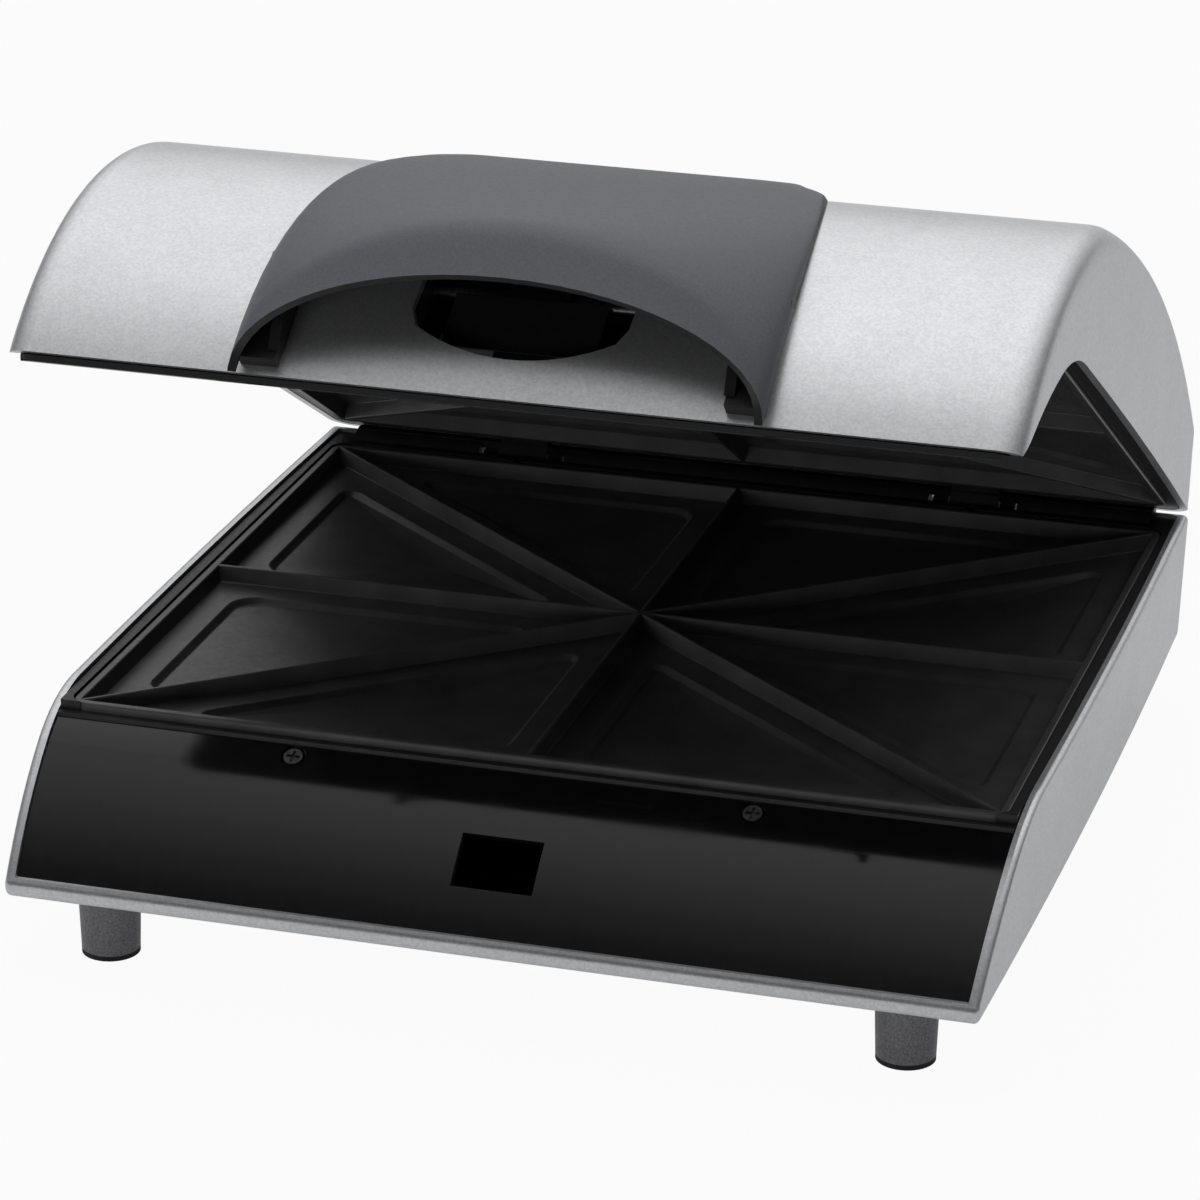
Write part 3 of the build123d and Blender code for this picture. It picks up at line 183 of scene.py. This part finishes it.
def dark_zinc():
    material, tree, shader, place = surface("dark_zinc", ZINC, 0.35, 0.9)
    tint(tree, shader, ZINC, [spread(tree, grains(tree, place, 0.0015, 3.0), 0.75, 1.25)])
    tree.links.new(
        spread(tree, grains(tree, place, 0.0008), 0.28, 0.45), shader.inputs["Roughness"]
    )
    return material


zinc = dark_zinc()
dress(
    zinc,
    "panel_screws",
    "lower_plate_screws",
    "lower_tray_screws",
    "cover_screws",
    "foot_screws",
    "hinge_bracket_screws",
    "hinge_pin_left",
    "hinge_pin_right",
    "lid_screws",
    "latch_pin",
    "upper_plate_screws",
    "upper_tray_screws",
    "cowl_screws",
)

# Baking plates: aluminium castings with a black non-stick coat. Eight triangular pockets lie
# between thin ribs that cross at the middle, each with a flat ledge round a sloping hollow. The
# upper plate is the mirror image of the lower one, turned open with the lid.

COAT_BLACK = (0.068, 0.068, 0.071)
PLATE = (139.0, 116.5)
PLATE_THICK = 11.5
PLATE_CORNER = 5.0
PLATES_APART = 2.5
RIM = 2.6
RIB = 1.4
WALL_DEEP = 5.0
WALL_SLOPE = 0.88
LEDGE = 9.0
HOLLOW = 4.2
HOLLOW_CORNER = 9.0
HOLLOW_STEP = 1.7
DEEPEST = 0.16
HINGE = Vector((0.0, 126.0, -4.0))
OPEN = math.radians(-30.1)

on_table = Matrix.Translation((0.0, 0.0125, 0.065)) @ Matrix.Scale(0.001, 4)
lid_open = (
    on_table
    @ Matrix.Translation(HINGE)
    @ Matrix.Rotation(OPEN, 4, "X")
    @ Matrix.Translation(-HINGE)
)


def non_stick():
    material, tree, shader, place = surface("non_stick", COAT_BLACK, 0.36)
    tint(tree, shader, COAT_BLACK, [spread(tree, grains(tree, place, 0.012, 4.0), 0.8, 1.2)])
    tree.links.new(
        spread(tree, grains(tree, place, 0.0018, 3.0), 0.31, 0.41), shader.inputs["Roughness"]
    )
    relief(tree, shader, grains(tree, place, 0.0007), 0.00006, 0.5)
    shader.inputs["Specular IOR Level"].default_value = 0.6
    return material


def piece_from(shape, name, material, slot, body, place, *stands_for):
    """A finished object from a bmesh drawn in millimetres with the lid shut."""
    bmesh.ops.transform(shape, matrix=place, verts=shape.verts)
    mesh = bpy.data.meshes.new(name)
    shape.to_mesh(mesh)
    shape.free()
    mesh.materials.append(material)
    made = bpy.data.objects.new(name, mesh)
    bpy.context.scene.collection.objects.link(made)
    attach(made, body)
    if stands_for:
        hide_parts(*stands_for)
    return made


def rounded(made, width, steps, angle=30.0):
    """Small rounds on the edges of a piece, shaded smooth."""
    made.data.shade_smooth()
    bevel = made.modifiers.new("rounds", "BEVEL")
    bevel.width = width
    bevel.segments = steps
    bevel.limit_method = "ANGLE"
    bevel.angle_limit = math.radians(angle)
    bevel.harden_normals = True
    return made


def pocket_plate():
    """The casting as a closed shape, its ribs' tops at zero."""
    shape = bmesh.new()
    side = PLATE[0] - RIM + RIB / 2
    end = PLATE[1] - RIM + RIB / 2
    bmesh.ops.create_grid(shape, x_segments=2, y_segments=2, size=1.0)
    bmesh.ops.scale(shape, vec=(side, end, 1.0), verts=shape.verts)
    corners = [v for v in shape.verts if abs(v.co.x) > 1.0 and abs(v.co.y) > 1.0]
    centre = [v for v in shape.verts if v.co.length < 1.0]
    bmesh.ops.connect_verts(shape, verts=centre + corners)
    pockets = list(shape.faces)
    border = [e for e in shape.edges if e.is_boundary]
    rim = bmesh.ops.extrude_edge_only(shape, edges=border)["geom"]
    rim_verts = [g for g in rim if isinstance(g, bmesh.types.BMVert)]
    bmesh.ops.scale(
        shape, vec=(PLATE[0] / side, PLATE[1] / end, 1.0), verts=rim_verts
    )
    rim_edges = [g for g in rim if isinstance(g, bmesh.types.BMEdge)]
    skirt = bmesh.ops.extrude_edge_only(shape, edges=rim_edges)["geom"]
    skirt_verts = [g for g in skirt if isinstance(g, bmesh.types.BMVert)]
    bmesh.ops.translate(shape, vec=(0.0, 0.0, -PLATE_THICK), verts=skirt_verts)
    bmesh.ops.contextual_create(
        shape, geom=[g for g in skirt if isinstance(g, bmesh.types.BMEdge)]
    )
    uprights = [
        e
        for e in shape.edges
        if abs(e.verts[0].co.z - e.verts[1].co.z) > 1.0
        and abs(e.verts[0].co.x) > side
        and abs(e.verts[0].co.y) > end
    ]
    bmesh.ops.bevel(
        shape,
        geom=uprights,
        offset=PLATE_CORNER,
        segments=5,
        profile=0.5,
        affect="EDGES",
        material=-1,
    )
    bmesh.ops.inset_individual(
        shape, faces=pockets, thickness=RIB / 2, depth=0.0, use_even_offset=True
    )
    bmesh.ops.inset_individual(
        shape, faces=pockets, thickness=WALL_SLOPE, depth=-WALL_DEEP, use_even_offset=True
    )
    for pocket in pockets:
        sink_hollow(shape, pocket)
    bmesh.ops.recalc_face_normals(shape, faces=shape.faces)
    return shape


def sink_hollow(shape, pocket):
    """Cut the sloping hollow, with round corners, inside the ledge of one pocket."""
    ledge_edges = list(pocket.edges)
    copy = bmesh.ops.duplicate(shape, geom=[pocket])["geom"]
    floor = [g for g in copy if isinstance(g, bmesh.types.BMFace)][0]
    ring = bmesh.ops.inset_individual(
        shape, faces=[floor], thickness=LEDGE, depth=0.0, use_even_offset=True
    )["faces"]
    bmesh.ops.delete(shape, geom=ring, context="FACES")
    points = [v.co.copy() for v in floor.verts]
    longest = max(floor.edges, key=lambda e: e.calc_length())
    square = [v for v in floor.verts if v not in longest.verts][0].co.copy()
    middle = (longest.verts[0].co + longest.verts[1].co) / 2
    deepest = middle + (square - middle) * DEEPEST
    bmesh.ops.bevel(
        shape,
        geom=list(floor.verts),
        offset=HOLLOW_CORNER,
        segments=6,
        profile=0.5,
        affect="VERTICES",
        material=-1,
    )
    floor = min(
        (f for f in shape.faces if len(f.verts) > 12),
        key=lambda f: (f.calc_center_median() - sum(points, Vector()) / 3).length,
    )
    bmesh.ops.delete(shape, geom=[pocket], context="FACES_ONLY")
    bmesh.ops.triangle_fill(
        shape, edges=ledge_edges + list(floor.edges), normal=(0.0, 0.0, 1.0), use_beauty=True
    )
    bmesh.ops.inset_individual(
        shape, faces=[floor], thickness=HOLLOW_STEP, depth=-HOLLOW_STEP, use_even_offset=True
    )
    low = bmesh.ops.poke(shape, faces=[floor])["verts"][0]
    low.co = Vector((deepest.x, deepest.y, -WALL_DEEP - HOLLOW))


coat = non_stick()
rounded(
    piece_from(
        pocket_plate(), "lower_baking_plate", coat, "non_stick", "base", on_table, "lower_plate"
    ),
    0.0005,
    3,
)
turned_over = pocket_plate()
bmesh.ops.scale(turned_over, vec=(1.0, 1.0, -1.0), verts=turned_over.verts)
bmesh.ops.translate(turned_over, vec=(0.0, 0.0, PLATES_APART), verts=turned_over.verts)
bmesh.ops.recalc_face_normals(turned_over, faces=turned_over.faces)
rounded(
    piece_from(
        turned_over, "upper_baking_plate", coat, "non_stick", "lid", lid_open, "upper_plate"
    ),
    0.0005,
    3,
)

# Heaters, their clamps, the thermostat and the thermal fuses: steel that the heat has tanned. They
# lie under and over the plates, between each plate and its reflector tray.

HEATED = (0.40, 0.38, 0.34)


def heated_steel():
    material, tree, shader, place = surface("heated_steel", HEATED, 0.4, 0.9)
    tint(tree, shader, HEATED, [spread(tree, grains(tree, place, 0.009, 4.0), 0.6, 1.2)])
    tree.links.new(
        spread(tree, grains(tree, place, 0.001), 0.3, 0.5), shader.inputs["Roughness"]
    )
    return material


dress(
    heated_steel(),
    "lower_element",
    "lower_element_clamps",
    "thermostat",
    "lower_thermal_fuse",
    "upper_element",
    "upper_element_clamps",
    "upper_thermal_fuse",
)

# Reflector trays behind the plates: bright aluminium sheet with the long marks of rolling, pressed
# to a shallow dish that sends the heat back to the plate.

TRAY = (0.62, 0.62, 0.62)


def rolled_sheet():
    material, tree, shader, place = surface("rolled_sheet", TRAY, 0.3, 1.0)
    turn = tree.nodes.new("ShaderNodeMapping")
    turn.inputs["Scale"].default_value = (1.0, 40.0, 40.0)
    tree.links.new(place, turn.inputs["Vector"])
    streaks = grains(tree, turn.outputs["Vector"], 0.02, 3.0)
    tint(tree, shader, TRAY, [spread(tree, streaks, 0.85, 1.1)])
    tree.links.new(spread(tree, streaks, 0.22, 0.4), shader.inputs["Roughness"])
    return material


dress(rolled_sheet(), "lower_tray", "upper_tray")

# Lips behind the plate: soft black strips on the frame's round ridge, which close the narrow view
# that is left between the ridge and the lid's frame, and above the ears beside each hinge arm.

LIP_INNER = 4.8
LIP_OUTER = 7.5
LIP_FROM, LIP_TO = math.radians(40.0), math.radians(105.0)
LIP_RUNS = ((-134.0, -85.2), (-66.8, 66.8), (85.2, 134.0))


def ridge_lips():
    """Bands round the hinge line, one for each run between the arms."""
    shape = bmesh.new()
    for start, end in LIP_RUNS:
        low = shape.verts.new((start, HINGE.y + LIP_INNER, HINGE.z))
        high = shape.verts.new((start, HINGE.y + LIP_OUTER, HINGE.z))
        edge = shape.edges.new((low, high))
        bmesh.ops.rotate(
            shape, cent=HINGE, matrix=Matrix.Rotation(LIP_FROM, 3, "X"), verts=[low, high]
        )
        bmesh.ops.spin(
            shape, geom=[edge], cent=HINGE, axis=(1.0, 0.0, 0.0), angle=LIP_TO - LIP_FROM, steps=16
        )
        sector = [f for f in shape.faces if f.calc_center_median().x < start + 0.1]
        grown = bmesh.ops.extrude_face_region(shape, geom=sector)["geom"]
        moved = [g for g in grown if isinstance(g, bmesh.types.BMVert)]
        bmesh.ops.translate(shape, vec=(end - start, 0.0, 0.0), verts=moved)
    bmesh.ops.recalc_face_normals(shape, faces=shape.faces)
    return shape


rounded(
    piece_from(ridge_lips(), "ridge_lips", moulded, "black_plastic", "base", on_table), 0.0003, 2
)

# Cover under the base, hinge brackets and the terminal block: the frame's black plastic. They are
# hidden while the cooker stands on its feet, apart from the brackets' arms.

dress(moulded, "base_cover", "hinge_bracket_left", "hinge_bracket_right", "terminal_block")

# Feet: short tapered cups, moulded in a dark grey with metallic flakes. Each is screwed to the
# cover from below.

FOOT = (0.2, 0.2, 0.215)


def foot_grey():
    material, tree, shader, place = surface("foot_grey", FOOT, 0.42, 0.45)
    tint(tree, shader, FOOT, [spread(tree, grains(tree, place, 0.0006), 0.7, 1.35)])
    tree.links.new(
        spread(tree, grains(tree, place, 0.001), 0.36, 0.5), shader.inputs["Roughness"]
    )
    relief(tree, shader, grains(tree, place, 0.0006), 0.00003, 0.4)
    return material


dress(foot_grey(), "foot_front_left", "foot_front_right", "foot_rear_left", "foot_rear_right")

# Foot pads and the bush of the cord inlet: matt black rubber with a faint bloom. The pads sit in
# the mouths of the feet, and the bush lines the hole in the rear wall.

RUBBER = (0.022, 0.022, 0.022)


def matt_rubber():
    material, tree, shader, place = surface("matt_rubber", RUBBER, 0.75)
    tint(tree, shader, RUBBER, [spread(tree, grains(tree, place, 0.003, 4.0), 0.7, 1.5)])
    relief(tree, shader, grains(tree, place, 0.0008), 0.00005, 0.5)
    return material


dress(matt_rubber(), "foot_pads", "cord_bush")

# Wires in the base: copper in sleeves of woven glass, cream coloured. They run from the terminal
# block to the thermostat and the lower heater.

SLEEVE = (0.72, 0.68, 0.6)


def glass_sleeve():
    material, tree, shader, place = surface("glass_sleeve", SLEEVE, 0.8)
    weave = tree.nodes.new("ShaderNodeTexWave")
    weave.wave_type = "BANDS"
    weave.bands_direction = "DIAGONAL"
    weave.inputs["Scale"].default_value = 600.0
    weave.inputs["Distortion"].default_value = 2.0
    tree.links.new(place, weave.inputs["Vector"])
    tint(tree, shader, SLEEVE, [spread(tree, weave.outputs["Fac"], 0.75, 1.1, 0.0, 1.0)])
    relief(tree, shader, weave.outputs["Fac"], 0.0001, 0.6)
    return material


dress(glass_sleeve(), "base_wires")

# Lid shell: one moulding with rounded ends that are open in a notch below. It is sprayed with the
# housing's silver paint.

dress(paint, "lid_shell")

# Lid inside: the frame that holds the upper plate, the finger well and the latch are the frame's
# black plastic, and the liner behind the lid's lip is gloss black like the panel it closes on.

dress(moulded, "lid_frame", "finger_well", "latch_lever", "cowl_rib_left", "cowl_rib_right")
dress(gloss, "lid_liner")

# Handle hood: a dark grey moulding that arches over the lid's front and ends in a flared lip
# over the finger hole. It stands on the lid's skin and is screwed on from the inside.

HOOD = (0.08, 0.084, 0.095)
HOOD_THICK = 2.4
HOOD_FOOT = 1.3
FRONT_CENTRE = Vector((0.0, -55.499, -65.217))
FRONT_RADIUS = 115.04
ROOF_CENTRE = Vector((0.0, -10.928, -356.487))
ROOF_RADIUS = 409.7
BEND = Vector((0.0, -84.75, 50.55))
REAR = Vector((0.0, -48.38, 58.65))
BACK_CENTRE = Vector((0.0, 57.81, -413.3))
BACK_RADIUS = 485.21
CREASE = Vector((0.0, -175.2, 12.3))
TIP = Vector((0.0, -171.8, -34.3))
LIP = Vector((0.0, -181.1, -4.6))
LIP_TIP = Vector((0.0, -172.6, -35.9))
HOOD_HALF = (52.0, 75.5)
HOOD_SIDE = 9.0
FLAT_HALF = 1.0
FLAT_COLUMNS = 10
BACK_RUN = 98.13
ROOF_TURN = math.radians(98.7)
SKIN_GAP = 0.2
CREASE_FROM = 0.965
CREASE_TO = 0.3
PAD_SIDES = (63.5, 74.4)
PAD_TURNS = (0.03, 0.34)
PAD_LOW, PAD_HIGH = -1.8, 4.6


def hood_grey():
    material, tree, shader, place = surface("hood_grey", HOOD, 0.42)
    tint(tree, shader, HOOD, [spread(tree, grains(tree, place, 0.0007), 0.9, 1.1)])
    tree.links.new(
        spread(tree, grains(tree, place, 0.0015), 0.38, 0.46), shader.inputs["Roughness"]
    )
    shader.inputs["Specular IOR Level"].default_value = 0.25
    relief(tree, shader, grains(tree, place, 0.0007), 0.00002, 0.3)
    return material


def hood_middle(share):
    """The hood's middle line, from its rear to the crease."""
    straight = (BEND - REAR).length
    along = share * (straight + BACK_RUN)
    if along < straight:
        return REAR.lerp(BEND, along / straight)
    start = math.atan2(BEND.z - BACK_CENTRE.z, BEND.y - BACK_CENTRE.y)
    turn = start + (along - straight) / BACK_RADIUS
    return BACK_CENTRE + Vector((0.0, math.cos(turn), math.sin(turn))) * BACK_RADIUS


def hood_foot(middle, share):
    """Where the hood meets the lid's skin, beside a point of its middle line."""
    turn = math.atan2(middle.z - FRONT_CENTRE.z, middle.y - FRONT_CENTRE.y)
    tip_turn = math.atan2(TIP.z - FRONT_CENTRE.z, TIP.y - FRONT_CENTRE.y) % (2 * math.pi)
    crease_turn = math.atan2(CREASE.z - FRONT_CENTRE.z, CREASE.y - FRONT_CENTRE.y)
    turn += (tip_turn - crease_turn) * share**3
    ray = Vector((0.0, math.cos(turn), math.sin(turn)))
    reach = FRONT_RADIUS
    if turn < ROOF_TURN:
        apart = FRONT_CENTRE - ROOF_CENTRE
        along = apart.dot(ray)
        reach = math.sqrt(along**2 - apart.dot(apart) + ROOF_RADIUS**2) - along
    tip_out = (TIP - FRONT_CENTRE).length - FRONT_RADIUS
    return FRONT_CENTRE + ray * (reach + SKIN_GAP + (tip_out - SKIN_GAP) * share**3)


def hood_point(middle, foot, half, side, column, columns):
    """A point of one section, its foot first, counted from the right foot to the left one."""
    corner = (columns - FLAT_COLUMNS) // 2
    rise = (middle - foot).length
    mirrored = column > columns // 2
    step = columns - column if mirrored else column
    if step <= corner:
        first = math.asin(min(1.0, HOOD_FOOT / rise))
        turn = 0.0 if step == 0 else first + (math.pi / 2 - first) * (step - 1) / (corner - 1)
        out = half - side + side * math.cos(turn)
        share = math.sin(turn)
    else:
        out = (half - side) * (1.0 - (step - corner) / (FLAT_COLUMNS // 2))
        share = 1.0
    place = foot.lerp(middle, share)
    return Vector((-out if mirrored else out, place.y, place.z))


def hood_pad(shape, side):
    """A foot inside one end of the arch, which lies on the lid's skin and reaches its lip."""
    tip_turn = math.atan2(TIP.z - FRONT_CENTRE.z, TIP.y - FRONT_CENTRE.y) % (2 * math.pi)
    pad = bmesh.ops.create_cube(shape, size=2.0)["verts"]
    for vert in pad:
        turn = tip_turn - PAD_TURNS[vert.co.y > 0.0]
        reach = FRONT_RADIUS + (PAD_HIGH if vert.co.z > 0.0 else PAD_LOW)
        out = PAD_SIDES[vert.co.x * side > 0.0]
        at = FRONT_CENTRE + Vector((0.0, math.cos(turn), math.sin(turn))) * reach
        vert.co = (side * out, at.y, at.z)
    for face in {f for v in pad for f in v.link_faces}:
        face.material_index = 1


def hood_moulding():
    """The hood's outer surface: rear wall, arched sections, a soft crease and the flared lip."""
    columns = 42
    stations = []
    for step in range(21):
        share = step / 20 * CREASE_FROM
        middle = hood_middle(share)
        half = HOOD_HALF[1] - (HOOD_HALF[1] - HOOD_HALF[0]) * (1 - share) ** 2
        side = HOOD_SIDE + (half - FLAT_HALF - HOOD_SIDE) * share
        stations.append((middle, hood_foot(middle, share), half, side))
    middle, foot = stations[-1][:2]
    half = HOOD_HALF[1]
    side = half - FLAT_HALF
    ahead = CREASE.lerp(LIP, CREASE_TO)
    ahead_foot = TIP.lerp(LIP_TIP, CREASE_TO)
    for step in range(1, 7):
        along = step / 6
        soft = middle.lerp(CREASE, along).lerp(CREASE.lerp(ahead, along), along)
        soft_foot = foot.lerp(TIP, along).lerp(TIP.lerp(ahead_foot, along), along)
        stations.append((soft, soft_foot, half, side))
    for step in range(1, 5):
        along = CREASE_TO + (1.0 - CREASE_TO) * step / 4
        stations.append((CREASE.lerp(LIP, along), TIP.lerp(LIP_TIP, along), half, side))

    shape = bmesh.new()
    start = shape.verts.new((1.0, 0.0, 0.0))
    bmesh.ops.spin(
        shape,
        geom=[start],
        cent=(0.0, 0.0, 0.0),
        axis=(0.0, 1.0, 0.0),
        angle=math.pi,
        steps=columns,
    )
    shape.verts.index_update()
    row = sorted(shape.verts, key=lambda v: -v.co.x)
    first_row = row
    for count, (middle, foot, half, side) in enumerate(stations):
        if count > 0:
            ring = [e for e in shape.edges if e.verts[0] in row and e.verts[1] in row]
            order = {vert: place for place, vert in enumerate(row)}
            new = bmesh.ops.extrude_edge_only(shape, edges=ring)["geom"]
            fresh = [g for g in new if isinstance(g, bmesh.types.BMVert)]
            pairs = {}
            for vert in fresh:
                for edge in vert.link_edges:
                    other = edge.other_vert(vert)
                    if other in order:
                        pairs[order[other]] = vert
            row = [pairs[place] for place in range(columns + 1)]
        for column, vert in enumerate(row):
            vert.co = hood_point(middle, foot, half, side, column, columns)
    foot = stations[0][1]
    ring = [e for e in shape.edges if e.verts[0] in first_row and e.verts[1] in first_row]
    wall = bmesh.ops.extrude_edge_only(shape, edges=ring)["geom"]
    for vert in [g for g in wall if isinstance(g, bmesh.types.BMVert)]:
        vert.co.y, vert.co.z = foot.y, foot.z
    bmesh.ops.remove_doubles(shape, verts=shape.verts, dist=0.01)
    bmesh.ops.recalc_face_normals(shape, faces=shape.faces)
    top = max(shape.faces, key=lambda f: f.calc_center_median().z)
    if top.normal.z < 0:
        bmesh.ops.reverse_faces(shape, faces=shape.faces)
    # Painted shade: the outer faces along the hood's foot at its sides, and the side parts of its
    # rear wall, take the black plastic (material 1) to stand for the shade where the hood stands on
    # the lid's skin.
    for face in shape.faces:
        feet = [v for v in face.verts if len([e for e in v.link_edges if e.is_boundary]) > 0]
        low = face.calc_center_median()
        if len(feet) > 1 and low.y > LIP.y + 12.0 and abs(low.x) > 40.0:
            face.material_index = 1
    for side in (-1.0, 1.0):
        hood_pad(shape, side)
    return shape


hood = piece_from(
    hood_moulding(), "hood_moulding", hood_grey(), "grey_cowl", "lid", lid_open, "handle_cowl"
)
hood.data.materials.append(moulded)
hood_wall = hood.modifiers.new("wall", "SOLIDIFY")
hood_wall.thickness = HOOD_THICK / 1000.0
hood_wall.offset = -1.0
hood_wall.material_offset = 1
hood_wall.material_offset_rim = 1
rounded(hood, 0.0005, 2)

# Studio: a pale floor, one soft light overhead with two weak ones at the left and low in front,
# and a sky that is bright over and behind the object and darkens towards the front.

PAPER = (0.25, 0.25, 0.25)
WHITE_TO_CAMERA = 0.95
WHITE_IN_MIRRORS = 0.45
SKY_DARK, SKY_BRIGHT = 0.02, 1.0

floor_shape = bmesh.new()
bmesh.ops.create_grid(floor_shape, x_segments=1, y_segments=1, size=6.0)
floor_mesh = bpy.data.meshes.new("floor")
floor_shape.to_mesh(floor_mesh)
floor_shape.free()
floor = bpy.data.objects.new("floor", floor_mesh)
bpy.context.scene.collection.objects.link(floor)
floor_paper = bpy.data.materials.new("floor_paper")
floor_paper.use_nodes = True
paper_tree = floor_paper.node_tree
paper = paper_tree.nodes["Principled BSDF"]
paper.inputs["Roughness"].default_value = 0.9
paper.inputs["Specular IOR Level"].default_value = 0.1
paper.inputs["Base Color"].default_value = (*PAPER, 1.0)
ray = paper_tree.nodes.new("ShaderNodeLightPath")
mirrored = paper_tree.nodes.new("ShaderNodeMath")
mirrored.operation = "MAXIMUM"
paper_tree.links.new(ray.outputs["Is Glossy Ray"], mirrored.inputs[0])
paper_tree.links.new(ray.outputs["Is Transmission Ray"], mirrored.inputs[1])
duller = paper_tree.nodes.new("ShaderNodeMath")
duller.operation = "MULTIPLY"
duller.inputs[1].default_value = WHITE_IN_MIRRORS
paper_tree.links.new(mirrored.outputs["Value"], duller.inputs[0])
share = paper_tree.nodes.new("ShaderNodeMath")
share.operation = "MULTIPLY_ADD"
share.inputs[1].default_value = WHITE_TO_CAMERA
paper_tree.links.new(ray.outputs["Is Camera Ray"], share.inputs[0])
paper_tree.links.new(duller.outputs["Value"], share.inputs[2])
white = paper_tree.nodes.new("ShaderNodeEmission")
white.inputs["Color"].default_value = (1.0, 1.0, 1.0, 1.0)
white.inputs["Strength"].default_value = 1.0
blend = paper_tree.nodes.new("ShaderNodeMixShader")
paper_tree.links.new(share.outputs["Value"], blend.inputs["Fac"])
paper_tree.links.new(paper.outputs["BSDF"], blend.inputs[1])
paper_tree.links.new(white.outputs["Emission"], blend.inputs[2])
paper_tree.links.new(blend.outputs["Shader"], paper_tree.nodes["Material Output"].inputs["Surface"])
floor_mesh.materials.append(floor_paper)

scene = bpy.context.scene
world = bpy.data.worlds.new("studio")
world.use_nodes = True
scene.world = world
sky_tree = world.node_tree
sky = sky_tree.nodes["Background"]
sky.inputs["Color"].default_value = (1.0, 1.0, 1.0, 1.0)
direction = sky_tree.nodes.new("ShaderNodeTexCoord").outputs["Generated"]
axes = sky_tree.nodes.new("ShaderNodeSeparateXYZ")
sky_tree.links.new(direction, axes.inputs["Vector"])
lean = sky_tree.nodes.new("ShaderNodeMath")
lean.operation = "MULTIPLY_ADD"
lean.inputs[1].default_value = 0.55
sky_tree.links.new(axes.outputs["Y"], lean.inputs[0])
sky_tree.links.new(axes.outputs["Z"], lean.inputs[2])
shade = sky_tree.nodes.new("ShaderNodeMapRange")
shade.interpolation_type = "SMOOTHSTEP"
shade.inputs["From Min"].default_value = 0.34
shade.inputs["From Max"].default_value = 1.15
shade.inputs["To Min"].default_value = SKY_DARK
shade.inputs["To Max"].default_value = SKY_BRIGHT
sky_tree.links.new(lean.outputs["Value"], shade.inputs["Value"])
sky_tree.links.new(shade.outputs["Result"], sky.inputs["Strength"])


def softbox(name, place, target, size, power):
    """A flat lamp that lights the object but isn't seen or mirrored."""
    light = bpy.data.lights.new(name, "AREA")
    light.shape = "RECTANGLE"
    light.size, light.size_y = size
    light.energy = power
    lamp = bpy.data.objects.new(name, light)
    scene.collection.objects.link(lamp)
    aim = Vector(target) - Vector(place)
    turned = aim.to_track_quat("-Z", "Y").to_matrix().to_4x4()
    lamp.matrix_world = Matrix.Translation(place) @ turned
    lamp.visible_camera = False
    lamp.visible_glossy = False


softbox("key_light", (-0.1, 0.1, 1.5), (0.0, 0.0, 0.08), (0.7, 0.7), 15.5)
softbox("left_fill", (-1.55, -0.3, 0.6), (0.0, 0.0, 0.05), (0.9, 0.9), 3.5)
softbox("front_fill", (-0.4, -1.6, 0.2), (0.0, 0.0, 0.12), (0.9, 0.3), 4.5)

# Camera: in front, to the right and above, where the photograph was taken from, with a long lens.
# Its place is an angle round the object, an angle above the floor and a distance from a point.

camera_data = bpy.data.cameras.new("camera")
camera_data.sensor_width = 36.0
camera_data.lens = 150.0042
camera_data.clip_start = 0.05
camera_data.clip_end = 50.0
camera = bpy.data.objects.new("camera", camera_data)
scene.collection.objects.link(camera)
AZIMUTH, ELEVATION, ROLL = (math.radians(a) for a in (16.4543, 21.4912, 0.2738))
DISTANCE = 1.5293151
AIM = Vector((-0.0146852, 0.0184693, 0.065))
back = Vector(
    (
        math.sin(AZIMUTH) * math.cos(ELEVATION),
        -math.cos(AZIMUTH) * math.cos(ELEVATION),
        math.sin(ELEVATION),
    )
)
right = (-back).cross(Vector((0.0, 0.0, 1.0))).normalized()
up = right.cross(-back)
across = right * math.cos(ROLL) + up * math.sin(ROLL)
upward = up * math.cos(ROLL) - right * math.sin(ROLL)
turned = Matrix((across, upward, back)).transposed().to_4x4()
camera.matrix_world = Matrix.Translation(AIM + back * DISTANCE) @ turned
scene.camera = camera
scene.view_settings.view_transform = "Standard"
